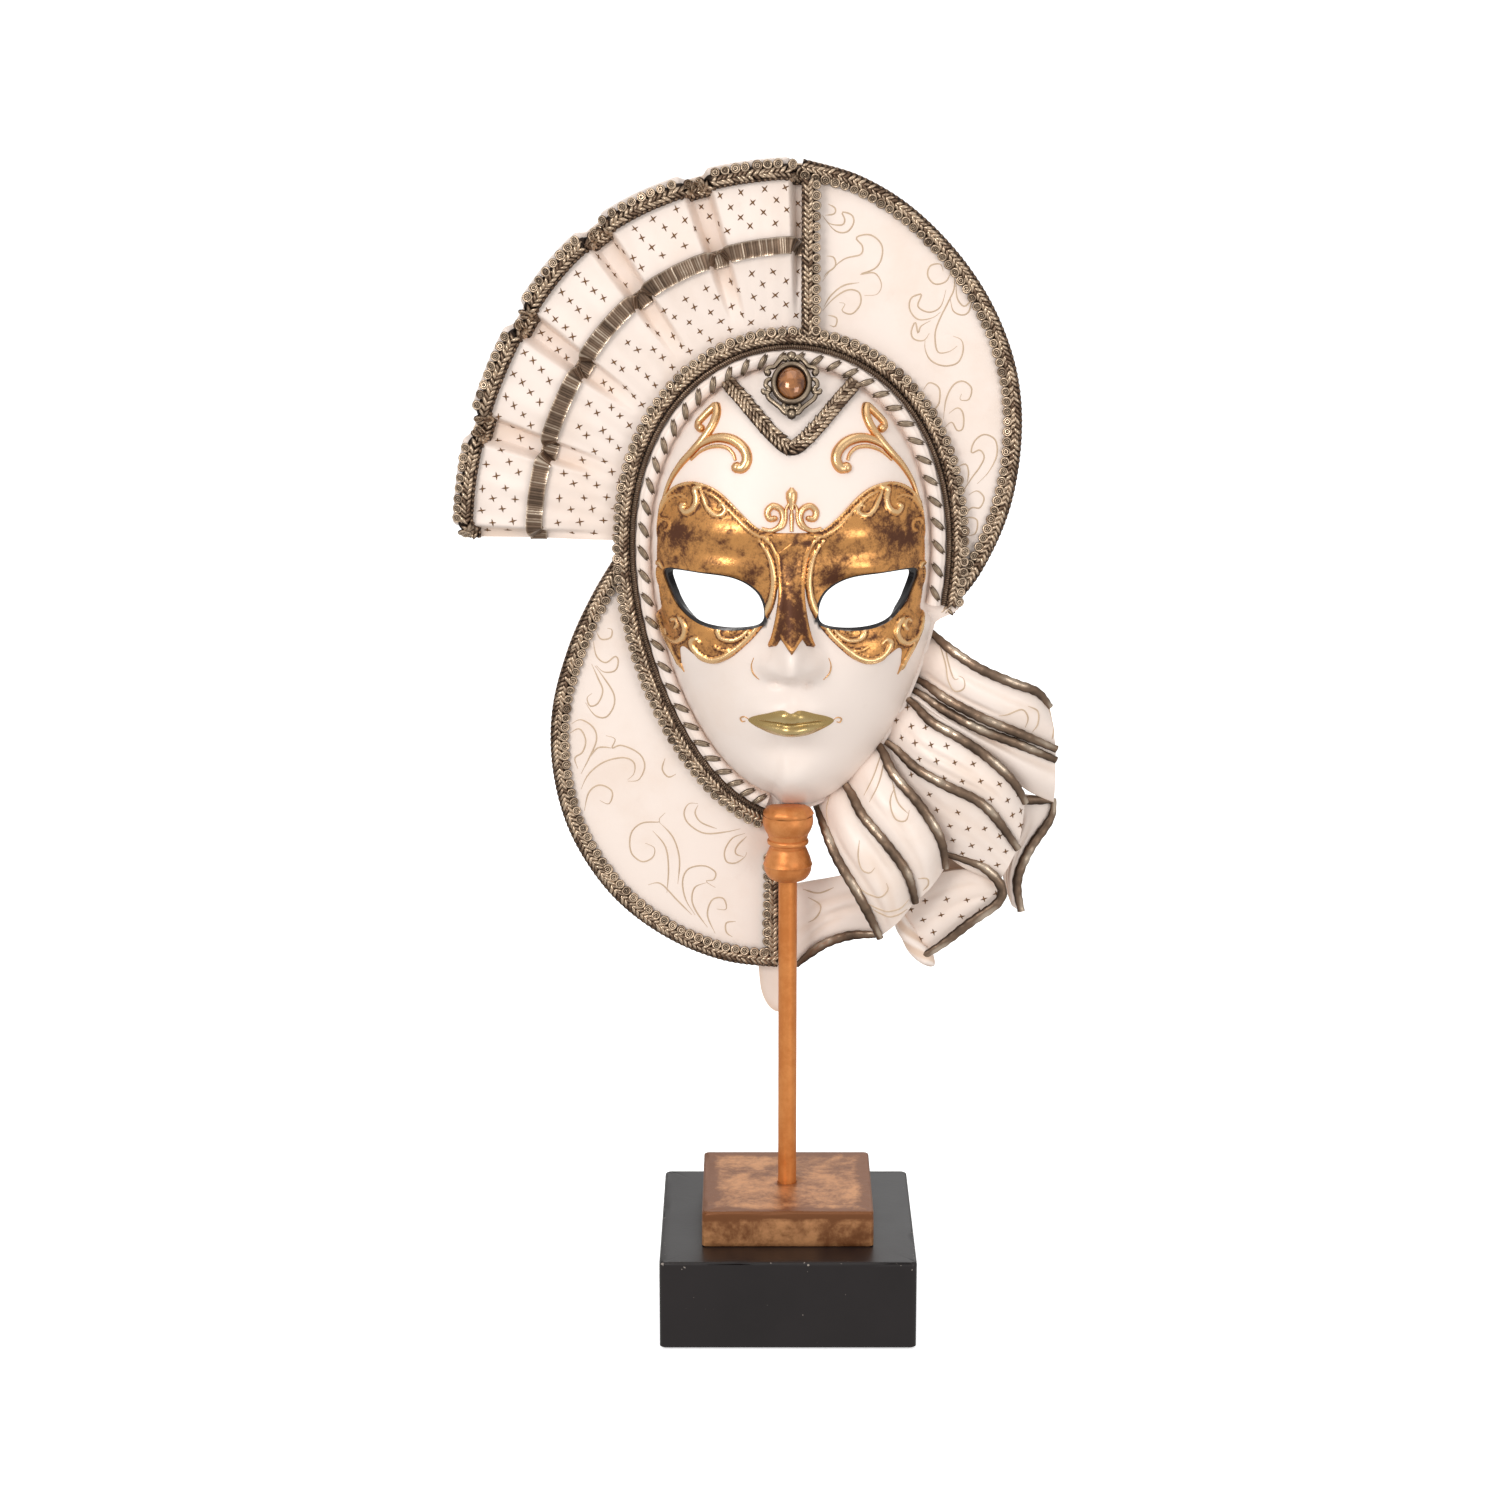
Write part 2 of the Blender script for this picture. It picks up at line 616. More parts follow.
steel = plain_finish("zinc_steel", (0.32, 0.32, 0.32, 1), (0.55, 0.55, 0.55, 1), 600, 0.35, 0.9, 0.0001)
nylon = plain_finish("black_nylon", (0.02, 0.02, 0.02, 1), (0.04, 0.04, 0.04, 1), 800, 0.55, 0.0, 0.0001)


# ---------------------------------------------------------------- braid
BRAID_STEP = 0.8


def braid(name, node, path, width, height, rosettes, seed, normal=FRONT):
    """Metal braid on a dark strap: rows of leaves, with a cord on one edge and rings on the other.

    The rings lie on the left edge with rosettes 1, on the right with -1, and 0 leaves out rings and cord.
    """
    form = Form()
    pick = random.Random(seed)
    path = even(path, BRAID_STEP)
    if np.ndim(normal) == 2:
        normal = along(np.asarray(normal), np.linspace(0, 1, len(path)))
    run, side, out = frames(path, normal)
    half = width / 2
    left, right = half - (2.1 if rosettes > 0 else 0.9), half - (2.1 if rosettes < 0 else 0.9)
    flat = [[-right, 0], [left, 0], [left - 0.3, height * 0.3], [0, height * 0.45],
            [0.3 - right, height * 0.3]]
    sweep(form, path, flat, 1.0, normal, wear=0.05)
    length = BRAID_STEP * (len(path) - 1)

    def at(d):
        t = np.clip(d / length, 0, 1)
        return [along(v, t) for v in (path, run, side, out)]

    # twisted cord along the plain edge
    if rosettes:
        edge = -rosettes * (half - 0.9)
        turn = np.arange(len(path)) * 2.1
        line = path + side * edge + out * height * 0.42 + side * (0.12 * np.sin(turn))[:, None]
        ring = round_section(1.5, 1.5, 7)
        sweep(form, line, ring, 1 + 0.16 * np.cos(turn), normal, wear=np.repeat(0.45 + 0.4 * np.cos(turn), 7))
    leaves, rings, knobs = [], [], []
    centre = -rosettes * half * 0.22
    reach = half * (0.7 if rosettes else 1.25)
    rows = 2 if rosettes else 3
    d = 1.2
    while d < length - 1:
        p, r, s, o = at(d)
        for row in range(rows):
            lane = mix(-1, 1, (row + 0.5) / rows)
            sway = (1 if lane > 0 else -1) * (0.6 + pick.uniform(-0.22, 0.22))
            a = r * math.cos(sway) + s * math.sin(sway)
            b = np.cross(o, a)
            spot = p + s * (centre + lane * reach * 0.55) + o * height * (0.5 + pick.uniform(0, 0.12))
            leaves.append((spot, a, b, o, (4.9 + pick.uniform(-0.6, 0.8), 1.9, 2.3)))
        d += 2.2
    if rosettes:
        count = max(1, int(round(length / 4.3)))
        for i in range(count):
            p, r, s, o = at((i + 0.5) * length / count)
            spot = p + s * (rosettes * (half - 1.75)) + o * height * 0.5
            tilt = o + s * rosettes * pick.uniform(0.1, 0.4) + r * pick.uniform(-0.25, 0.25)
            tilt = tilt / np.linalg.norm(tilt)
            a = np.cross(s, tilt)
            a /= np.linalg.norm(a)
            b = np.cross(tilt, a)
            size = pick.uniform(2.0, 2.4)
            rings.append((spot, a, b, tilt, (size, size, 2.3)))
            rings.append((spot + tilt * 0.25, a, b, tilt, (size * 0.52, size * 0.52, 1.5)))
            knobs.append((spot + tilt * 0.2, a, b, tilt, (0.55, 0.55, 0.6)))
            for turn in (-1, 1):
                slant = r * turn * 0.8 - s * rosettes * 0.6
                slant = slant / np.linalg.norm(slant)
                spot = p + s * (rosettes * (half - 3.4)) + r * turn * 1.2 + o * height * 0.52
                leaves.append((spot, slant, np.cross(o, slant), o, (2.8, 1.0, 1.4)))
    stamp(form, LEAF, leaves, [pick.uniform(0.7, 1.45) for _ in leaves])
    if rings:
        stamp(form, RING, rings, [pick.uniform(0.8, 1.4) for _ in rings])
        stamp(form, KNOB, knobs)
    form.piece(name, "pewter_trim", pewter, [node])


def twisted_cord(name, node, path, radius, step=0.5, pitch=2.2):
    """Cord of two strands that turn round each other once in a pitch."""
    path = even(path, step)
    turn = np.arange(len(path)) * step * 2 * math.pi / pitch
    around = circle(8)
    bulge = radius * (1 + 0.18 * np.cos(2 * (turn[:, None] + around[None])))
    section = np.stack([bulge * np.cos(around), bulge * np.sin(around)], -1)
    form = Form()
    sweep(form, path, section, wear=((bulge / radius - 1) / 0.36 + 0.5).ravel())
    form.piece(name, "pewter_trim", pewter, [node])


# ---------------------------------------------------------------- face
EYE = [(51, 9), (36, 9.5), (24, 8), (15, 3), (11.5, -4), (13, -10), (23, -12), (36, -11), (44, -7), (49, 0)]
eyes = [even(curve(side, 8, True), 0.7) for side in (EYE, mirrored(EYE))]


def polar_points(rings, spokes):
    """Points all over the dome, closer together towards its edge."""
    out = [[0.0, 0.0]]
    for j in range(1, rings + 1):
        r = 1 - (1 - j / rings) ** 1.7
        n = max(10, int(spokes * min(1, r * 1.3)))
        t = np.linspace(-180, 180, n, endpoint=False) + (j % 2) * 180 / n
        out += (r * 0.9995 * oval(t, dome_edge(t))).tolist()
    return out


def surface_normals(points, tris):
    n = np.zeros_like(points)
    a, b, c = points[tris[:, 0]], points[tris[:, 1]], points[tris[:, 2]]
    flat = np.cross(b - a, c - a)
    flat[flat[:, 1] > 0] *= -1
    for k in range(3):
        np.add.at(n, tris[:, k], flat)
    return n / np.maximum(np.linalg.norm(n, axis=1, keepdims=True), 1e-9)


turn = np.linspace(-180, 180, 420, endpoint=False)
rim = oval(turn, rim_edge(turn))
flange = np.concatenate([oval(turn, mix(dome_edge(turn), rim_edge(turn), k)) for k in (0.02, 0.35, 0.7)])
flat, tris = plate(rim, eyes, np.concatenate([polar_points(84, 300), flange]), 0.25)
part = face_part(*flat.T)
front = np.stack([flat[:, 0], np.where(part < 1, face_y(*flat.T, np.minimum(part, 1)), 0), flat[:, 1]], 1)
back = front - surface_normals(front, tris) * WALL
lid = np.minimum(*[nearest(flat, e, True)[0] for e in eyes])
face = Form()
layer(face, front, back, tris, black=(1 - ease((lid - 1.9) / 0.3), 1.0), wear=(0.0, 0.0))
face.piece("face", "ivory_face", face_paint, ["face_shell"], crease=60)


# ---------------------------------------------------------------- gilding on the face
def gilt_plate(name, node, outline, holes, lines, base, step, dark):
    """Thin gilt casting over the face, with raised lines; dark gives how far its gold is rubbed off."""
    outline = even(np.concatenate([outline, outline[:1]]), step)[:-1]
    flat, tris = plate(outline, holes, mesh_grid(outline, step), step * 0.35)
    high, groove = ridges(flat, lines)
    edge = nearest(flat, outline, True)[0]
    thick = base * ease(edge / 0.7 + 0.35) + high
    n = face_normal(*flat.T)
    skin = np.stack([flat[:, 0], face_y(*flat.T), flat[:, 1]], 1)
    form = Form()
    wear = 0.42 + 0.6 * np.minimum(high / 0.9, 1) - 0.45 * (1 - groove) * (high < 0.2) - dark(flat)
    layer(form, skin + n * thick[:, None], skin + n * 0.1, tris, wear=(np.clip(wear, 0, 1), 0.2))
    form.piece(name, "gold_leaf", gold, [node])


HALF_MASK = [
    (0, 28.4), (4.4, 28.4), (7.7, 28.6), (12.8, 29.6), (17, 32.4), (21.2, 36.3), (25.5, 40.6), (29.7, 44.1),
    (34.4, 46.4), (40, 47.3), (44.7, 46.2), (49.1, 43.5), (52.6, 39.5), (55, 34.4), (56.4, 28.6), (57.3, 22),
    (57.5, 15.4), (57.3, 11), (57.3, 4), (57.2, -4), (56.2, -12), (54.3, -18.5), (51.8, -23.5), (48.8, -28.3),
    (46.3, -33.5), (46.4, -28), (46.6, -24), (45.2, -22.6), (42.9, -23.6), (40, -25.6), (36, -27.2),
    (31, -27.4), (26, -25.6), (21.5, -22), (17, -17.6), (13.4, -13.4), (10.5, -9.2), (7.6, -3.5), (6.2, 1.5),
    (5.4, 6), (3, 8.4), (0, 9)]
MASK_LINES = [
    ([(2, 29.8), (7.7, 29.4), (12.8, 30.2), (17, 33), (21.2, 36.6), (25.5, 40.8), (29.7, 44.2), (34.4, 46.4),
      (40, 47.2), (44.7, 46), (49.1, 43.3), (52.4, 39.3), (54.6, 34.2), (55.9, 28.6), (57, 21),
      (57.2, 15)], 1.15, 1.0),
    ([(8, 26.9), (13.5, 27.2), (18.5, 30.2), (23, 34.2), (27.2, 38.4), (31.6, 42.2), (37, 44.4)], 0.8, 0.7),
    ([(36.8, 45.6), (39.6, 44.4), (39, 41), (39.5, 37.8), (41.4, 35.4), (44, 34.6), (45.2, 36.6),
      (43.6, 38)], 1.25, 1.1),
    ([(37.4, 44.6), (35.8, 40.6), (34.4, 37.2), (31.8, 34.7), (28.8, 34.8), (27.2, 36.9), (28.2, 38.8),
      (30, 38)], 1.0, 1.0),
    ([(53.9, 33.3), (52.1, 37), (49.1, 40), (45.6, 41.1), (42.8, 39.9)], 0.7, 0.6),
    ([(55.6, 27), (53.4, 30), (50.6, 29.4), (50.4, 26.6), (52.6, 25.6)], 0.8, 0.7),
    ([(11.8, 26.6), (8.6, 24.1), (6.5, 19.8), (5.2, 14.7), (4.6, 8.6)], 0.75, 0.8),
    ([(13.4, 25.6), (9.6, 19.8), (7.6, 12.9), (7, 6.1), (8.2, -0.8), (11.2, -7.3), (15, -12.8), (19.2, -17.4),
      (24.2, -21.9), (29, -25), (33.3, -26.1), (37.6, -25), (40.6, -21.9), (41.2, -19.2), (39.2, -17.9),
      (37.6, -19.6)], 1.2, 1.15),
    ([(15.6, -10.4), (20.4, -15.3), (24.7, -17.3), (29, -16.5), (30.4, -13.8), (28.5, -11.5), (25.5, -11.2),
      (23.6, -12.9), (25, -14.4)], 1.0, 1.0),
    ([(17.5, -15.5), (22.5, -20), (28, -21.8), (32, -20.4)], 0.6, 0.6),
    ([(47, -10), (44.6, -12.6), (44, -16), (45.6, -19.4), (49, -21.4), (52, -19.6)], 1.15, 1.0),
    ([(48.6, -15.6), (47, -13.4), (48.2, -11.4), (50.2, -12.6)], 0.8, 0.9),
    ([(55.8, 9), (56.6, 1.8), (56.5, -5.2), (55.4, -12.6), (53.4, -19), (50.6, -24), (48, -28.6),
      (46.4, -32.8)], 1.0, 1.05),
    ([(57, 10.5), (54.6, 11.6), (53.6, 9.4)], 0.9, 0.9)]


def both_sides(lines):
    return lines + [(mirrored(p), w, h) for p, w, h in lines]


half = held(curve(HALF_MASK, 2))
outline = np.concatenate([half, np.array(mirrored(half[::-1]))[1:-1]])


def lid_shade(p):
    """Brown patches left on the brow and beside the nose."""
    x, z = np.abs(p[:, 0]), p[:, 1]
    return sum(rise(patch, x, z) for patch in ((47, 25, 9, 6, 0.42), (17, 8, 5, 8, 0.3), (0, 22, 6, 5, 0.25)))


wide_eyes = []
for e in eyes:
    middle = e.mean(0)
    away = (e - middle) / np.linalg.norm(e - middle, axis=1, keepdims=True)
    wide_eyes.append(e + away * 1.6)
gilt_plate("gilt_half_mask", "half_mask", outline, wide_eyes, both_sides(MASK_LINES), 0.8, 0.62, lid_shade)

STRIP = [(0, 25), (9.4, 26), (6.6, 19.8), (5.6, 14.7), (4.8, 8.6), (5, 3), (5.5, -2.7), (6.8, -9.4),
         (8.2, -15.4), (9.4, -19.2), (6.2, -17.6), (4.4, -14.4), (3, -15.6), (0, -19.4)]
strip = np.array(STRIP + mirrored(STRIP[:0:-1])[:-1])
STRIP_LINES = [([(8.4, 25.2), (5.7, 19), (4.6, 12), (3.9, 4), (4.4, -3), (5.6, -10), (7, -15.4),
                 (8.6, -18.4)], 0.75, 0.8),
               ([(3.4, -12.4), (2.4, -14.6), (0, -18.4)], 0.6, 0.6)]
gilt_plate("nose_strip_gilding", "nose_strip", strip, [], both_sides(STRIP_LINES), 1.1, 0.5,
           lambda p: 0.22 + 0.2 * np.exp(-((p[:, 1] + 8) / 14) ** 2))

# lips, with a seam where they meet
LIPS = [(18, -52.5), (9, -48), (3.5, -46.5), (0, -47.6), (-3.5, -46.5), (-9, -48), (-18, -52.5), (-9, -57.5),
        (0, -59), (9, -57.5)]
lips = curve(LIPS, 8, True)
flat, tris = plate(even(lips, 0.6), [], mesh_grid(lips, 0.6), 0.25)
skin, n = on_face(flat)
seam = np.abs(flat[:, 1] + 52.6 + 0.9 * np.exp(-(flat[:, 0] / 4) ** 2))
edge = nearest(flat, lips, True)[0]
puff = 0.25 + 1.5 * ease(edge / 3.2) * ease(seam / 2.2)
form = Form()
wear = np.clip(0.35 + 0.3 * puff - 0.6 * (seam < 0.5), 0, 1)
layer(form, skin + n * puff[:, None], skin, tris, wear=(wear, 0.1))
form.piece("lip_gilding", "lip_gilding", lip_paint, ["lips"])


def scroll(form, points, width, height, start=0.35, end=1.0, ball=0.0):
    """Raised gilt scroll over the face, thin at its start, with a ball in its curl if asked."""
    path, n = on_face(even(curve(points, 8), 0.5), 0.1)
    s = np.linspace(-1, 1, 11)
    bulge = np.sqrt(np.maximum(0, 1 - s * s))
    section = np.stack([np.concatenate([s, s[::-1]]) * width / 2,
                        np.concatenate([bulge * height, -0.25 + 0 * s])], 1)
    way = np.linspace(0, 1, len(path))
    size = mix(start, 1, ease(way / 0.6)) * mix(end, 1, ease((1 - way) / 0.25))
    wear = np.tile(np.concatenate([0.35 + 0.65 * bulge, 0 * s]), len(path))
    sweep(form, path, section, size, n, wear=wear)
    if ball:
        _, side, out = frames(path, n)
        across = np.cross(out[-1], side[-1])
        stamp(form, KNOB, [(path[-1], side[-1], across, out[-1], (ball, ball, height * 1.15))])


def gilt_trim(form, name, *nodes):
    form.piece(name, "gold_leaf", gold_trim, nodes)


# a scroll over each brow, and one under each eye
STEM = [(54.8, 32), (53, 39), (50.2, 46.5), (46, 53.3), (41.4, 58.6), (37.4, 63.2), (34.2, 67.5),
        (31.9, 71.5), (30.9, 75), (31.7, 78), (33.9, 77.6), (36.1, 74.8), (38, 71.4), (38.6, 68.9),
        (37.3, 68.2)]
BRANCH = [(45.6, 53.4), (41.4, 58.4), (36.8, 62.6), (31.4, 65.2), (26.3, 65.4), (22.1, 63.8), (19.1, 60.7),
          (18.5, 57.1), (20.2, 54.2), (22.6, 54.2)]
BRANCH_INNER = [(41.7, 55.6), (37.4, 59.6), (32.3, 61.9), (27.2, 61.9), (24.2, 59.7), (23.2, 57)]
CHEEK_OUTER = [(54.6, -17.5), (52.4, -22), (49.6, -26.5), (46.9, -31), (45, -35)]
CHEEK_INNER = [(19, -18.6), (24.2, -23.2), (29, -26.2), (33.6, -27.2), (38.2, -26), (41.6, -22.4)]
for name, flip in (("left", mirrored), ("right", list)):
    form = Form()
    scroll(form, flip(STEM), 4.0, 2.0, 0.45, 0.9, 1.9)
    scroll(form, flip(BRANCH), 4.6, 2.2, 0.3, 1.0, 2.5)
    scroll(form, flip(BRANCH_INNER), 1.7, 1.3, 0.5, 0.8)
    scroll(form, flip([(37.9, 64.2), (34.9, 67.4), (31.2, 70.4)]), 1.8, 1.2, 1.0, 0.2)
    gilt_trim(form, "brow_scroll_" + name + "_gilding", "brow_scroll_" + name)
    form = Form()
    scroll(form, flip(CHEEK_OUTER), 2.6, 1.5, 0.8, 0.25)
    scroll(form, flip(CHEEK_INNER), 1.8, 1.3, 0.5, 0.6)
    gilt_trim(form, "cheek_scroll_" + name + "_gilding", "cheek_scroll_" + name)

# crest over the nose: a curl each side of a leaf
CREST_CURL = [(12.4, 29.9), (8.4, 29.2), (5, 31), (3.5, 34.4), (4.6, 37.8), (7.8, 39), (10, 36.8), (9.2, 34),
              (6.9, 34.1)]
crest = Form()
for flip in (list, mirrored):
    scroll(crest, flip(CREST_CURL), 3.0, 1.9, 0.7, 0.9, 1.3)
    scroll(crest, flip([(0.4, 41), (2.2, 38), (2.4, 34), (3.6, 31), (7, 28.9)]), 1.7, 1.5, 0.7, 0.5)
scroll(crest, [(0, 37.6), (0, 41), (0, 46.6)], 4.8, 2.1, 0.5, 0.3)
scroll(crest, [(0, 29), (0, 33), (0, 37.6)], 2.0, 1.4, 0.8, 0.6)
gilt_trim(crest, "nose_crest_gilding", "nose_crest")

# thin gilt lines round the nostrils and at the corners of the mouth
FINE_LINES = [
    [(15.6, -24.6), (16.6, -28), (15.9, -31.4), (13.4, -34)],
    [(17.4, -52.6), (19.4, -51.4), (21.2, -52.2), (20.6, -53.8), (19.2, -53.4)]]
fine = Form()
for flip in (list, mirrored):
    for line in FINE_LINES:
        scroll(fine, flip(line), 0.7, 0.35, 0.4, 0.5)
fine.piece("face_fine_lines", "gold_leaf", gold_trim, crease=40)

# ---------------------------------------------------------------- forehead
CHEVRON = [(-26.4, 86.4), (-20.5, 81), (-7, 67), (0, 62.4), (7, 67), (20.5, 81), (26.7, 86.4)]
flat = even(curve(CHEVRON, 8), 0.8)
n = face_normal(*held(flat, 0.93).T)
skin = face_y(flat[:, 0], flat[:, 1])
over_band = 1.9 * ease((np.abs(flat[:, 0]) - 19) / 7)
path = np.stack([flat[:, 0], skin - over_band - 0.3, flat[:, 1]], 1)
braid("chevron_leaf_braid", "chevron_braid", path, 8.2, 2.9, 0, 7, n)

# jewel, leaning back with the forehead: its own x and y lie in its face and z points out of it
lean = math.radians(62)
JEWEL = np.array((0, -15.5, 87.0))
JEWEL_X = np.array((1.0, 0, 0))
JEWEL_Y = np.array((0, math.cos(lean), math.sin(lean)))
JEWEL_Z = np.array((0, -math.sin(lean), math.cos(lean)))
JEWEL_ARMS = [
    [(0.6, 10.2, 2), (2.6, 11.6, 2.2), (4.6, 10.4, 2), (6.2, 8.6, 1.8), (7.2, 7.4, 1.6), (9.4, 7, 1.8),
     (10.6, 5.2, 2), (9.4, 3.6, 2)],
    [(8.2, 2.4, 1.6), (10.2, 1.2, 2), (10.6, -1, 2), (9, -2, 1.8)],
    [(8.4, -1.6, 1.4), (9.4, -3.6, 1.6), (11.4, -4, 2), (12, -2.4, 2)],
    [(10.4, -3.6, 1.6), (9.4, -6.4, 1.8), (7.2, -8.4, 1.8), (4.8, -10.4, 1.8), (3, -12.6, 2),
     (1.2, -13.6, 2.2)],
    [(0.4, -9.8, 1.6), (2.2, -11.2, 2.2), (3.4, -9.8, 2), (2.6, -8.8, 1.8)]]
JEWEL_KNOBS = [
    (0, 12, 2.3), (-2.6, 10.8, 1.3), (2.6, 10.8, 1.3), (0, -13.4, 2.2), (-2.4, -12, 1.3), (2.4, -12, 1.3),
    (9.8, 4.8, 1.6), (-9.8, 4.8, 1.6), (9.4, -2.8, 1.5), (-9.4, -2.8, 1.5), (0, -10.4, 1.5)]
ROUND = 48


def on_jewel(x, y, z):
    return JEWEL + x * JEWEL_X + y * JEWEL_Y + z * JEWEL_Z


def jewel_ring(w, h, z, angles=circle(ROUND)):
    """Oval round the stone's middle, of half width w and half height h."""
    return np.array([on_jewel(w * math.sin(a), h * math.cos(a), z) for a in angles])


def rubbed(section, low, times):
    """Wear round a section that is bright on top, given its heights, for each ring of a path."""
    return np.tile(np.clip(section * 0.6 + low, 0, 1), times)


setting = Form()
ring_path = jewel_ring(7.3, 8.3, 2.2, np.linspace(0, 2 * math.pi, 65))
sweep(setting, ring_path, round_section(2.6, 3.6, 10), 1.0, JEWEL_Z, wear=rubbed(np.sin(circle(10)), 0.3, 65))
base = [(0.02, -0.6), (0.98, -0.6), (1.0, 0.8), (0.8, 2.2), (0.02, 2.2)]
rings = [jewel_ring(r * 7.6, r * 8.6, z) for r, z in base]
setting.add(rings, grid_faces(len(rings), ROUND), wear=0.1)
for s in (-1, 1):
    for arm in JEWEL_ARMS:
        p = even(curve([on_jewel(s * a, b, c) for a, b, c in arm], 6), 0.5)
        section = round_section(2.1, 2.1, 8)
        sweep(setting, p, section, tapered(len(p), 0.5, 0.6), JEWEL_Z,
              wear=rubbed(section[:, 1], 0.35, len(p)))
stamp(setting, KNOB, [(on_jewel(x, y, 1.6), JEWEL_X, JEWEL_Y, JEWEL_Z, (r, r, r)) for x, y, r in JEWEL_KNOBS])
setting.piece("ornate_jewel_setting", "silvered_metal", silver, ["jewel_setting"])

stone = Form()
levels = np.sin(np.linspace(0, 1, 14)[::-1] * math.pi / 2 * 0.998 + 0.001)
rings = [jewel_ring(6.1 * q, 7.1 * q, 2 + 4.4 * math.sqrt(max(0, 1 - q * q))) for q in levels]
rings.append(jewel_ring(0.01, 0.01, 6.4))
stone.add(rings, grid_faces(len(rings), ROUND), wear=np.repeat(np.linspace(0, 1, len(rings)), ROUND))
stone.piece("amber_cabochon", "amber_stone", amber, ["jewel_stone"])


# ---------------------------------------------------------------- round the face
def rim_line(d, y):
    """Path round the face, d outside its edge, from beside the chin to above the ribbons."""
    t = np.linspace(BRAID_START, BRAID_END, 2 * (BRAID_END - BRAID_START))
    p = oval(t, d)
    return np.stack([p[:, 0], np.full(len(t), float(y)), p[:, 1]], 1)


# padded band, pinched a little under each stitch
STITCHES = 44
stitch_at = np.linspace(BRAID_START + 4, BRAID_END - 3, STITCHES)
path = rim_line(-BAND_W / 2 - 0.2, 0)
t = np.linspace(BRAID_START, BRAID_END, len(path))
gap = np.abs(t[:, None] - stitch_at[None]).min(1)
puff = 1 - 0.1 * np.exp(-(gap / 1.3) ** 2)
s = np.linspace(-1, 1, 15)
roll = np.sqrt(np.maximum(0, 1 - np.abs(s) ** 2.4)) * 4.7
fold = 0.5 * np.exp(-((s - 0.55) / 0.1) ** 2)
band = Form()
section = np.stack([np.concatenate([s, s[::-1]]) * (BAND_W - 0.4) / 2,
                    np.concatenate([roll - fold, 0 * s + 0.02])], 1)
stain = np.tile(np.concatenate([np.where(np.abs(s) > 0.9, 0.35, 0.02) + fold * 0.3, 0 * s]), len(path))
sweep(band, path, section, puff, wear=stain)
band.piece("padded_band", "ivory_resin", resin, ["rim_band"], crease=80)

# slanted stitches over the band, each of two strands and a ridge
stitches = []
for t in stitch_at:
    a, b = oval(t - 2.3, -BAND_W + 0.5), oval(t + 1.9, -1.4)
    if abs(t) < 45:
        a, b = oval(t - 1.9, -BAND_W + 0.3), oval(t + 1.7, -1.2)
    mid, d = (a + b) / 2, (b - a) / np.linalg.norm(b - a)
    x = np.array((d[0], 0.0, d[1]))
    y = np.cross(FRONT, x)
    for off, high, long, wide in ((-0.5, 4.55, 8.0, 1.7), (0.5, 4.55, 8.0, 1.7), (0, 4.9, 7.2, 1.2)):
        stitches.append((np.array((mid[0], -high, mid[1])) + y * off, x, y, FRONT, (long, wide, 2.0)))
lacing = Form()
stamp(lacing, leaf_shape(9, 8), stitches)
lacing.piece("lacing_stitches", "pewter_trim", lacing_paint, ["rim_lacing"])

twisted_cord("inner_rim_cord", "rim_cord", rim_line(0.7, -1.6), 1.15)
braid("rim_rosette_braid", "rim_braid", rim_line(BRAID_W / 2 + 1.2, 0), BRAID_W - 0.6, BRAID_H, 1, 2)


# ---------------------------------------------------------------- panels
def brim_y(p):
    """How far back the panels lie: they lean back away from the face."""
    c = np.clip(p[..., 1] / (FACE_H / 2), -1, 1)
    outside = np.hypot(p[..., 0] / (FACE_W / 2 * (1 + EGG * c)), p[..., 1] / (FACE_H / 2)) - 1
    return WALL + LEAN * ease((outside - 0.15) / 1.1)


def to_brim(p, lift=0.0):
    """Flat points laid on the panels' front."""
    p = np.asarray(p, float)
    return np.stack([p[..., 0], brim_y(p) - lift, p[..., 1]], -1)


def sheet(form, grid, thickness, wear=0.0, lip=0.5):
    """Closed sheet over a grid of points with rounded edges; its thickness lies behind it."""
    n, m = grid.shape[:2]
    wear = np.broadcast_to(wear, (n, m))
    back = grid[:, ::-1] + (0, thickness, 0)

    def rim_of(edge, beside):
        away = edge - beside
        return edge + (0, thickness / 2, 0) + away / np.linalg.norm(away, axis=-1, keepdims=True) * lip

    rings = np.concatenate([grid, rim_of(grid[:, -1:], grid[:, -2:-1]), back,
                            rim_of(grid[:, :1], grid[:, 1:2])], 1)
    values = np.concatenate([wear, wear[:, -1:], 0 * wear + 0.1, wear[:, :1]], 1)
    form.add(rings, grid_faces(n, rings.shape[1]), wear=values.ravel())
    return form


def panel(name, node, inner, outer, steps=120, rows=40):
    a, b = along(inner, np.linspace(0, 1, steps)), along(outer, np.linspace(0, 1, steps))
    k = np.linspace(0, 1, rows)[None, :, None]
    flat = a[:, None] * (1 - k) + b[:, None] * k
    stain = 0.25 * np.exp(-k[..., 0] * 14) + 0.2 * np.exp(-(1 - k[..., 0]) * 12) + 0 * flat[..., 0]
    sheet(Form(), to_brim(flat), PANEL_T, stain).piece(name, "ivory_resin", resin, [node], crease=40)


def edge_route(inner, outer, inset=BRAID_W / 2 - 0.6):
    """Path along a panel's outer edge for its braid."""
    a, b = along(inner, np.linspace(0, 1, 160)), along(outer, np.linspace(0, 1, 160))
    length = np.linalg.norm(b - a, axis=1, keepdims=True)
    return to_brim(a + (b - a) * (1 - inset / length), 0.3)


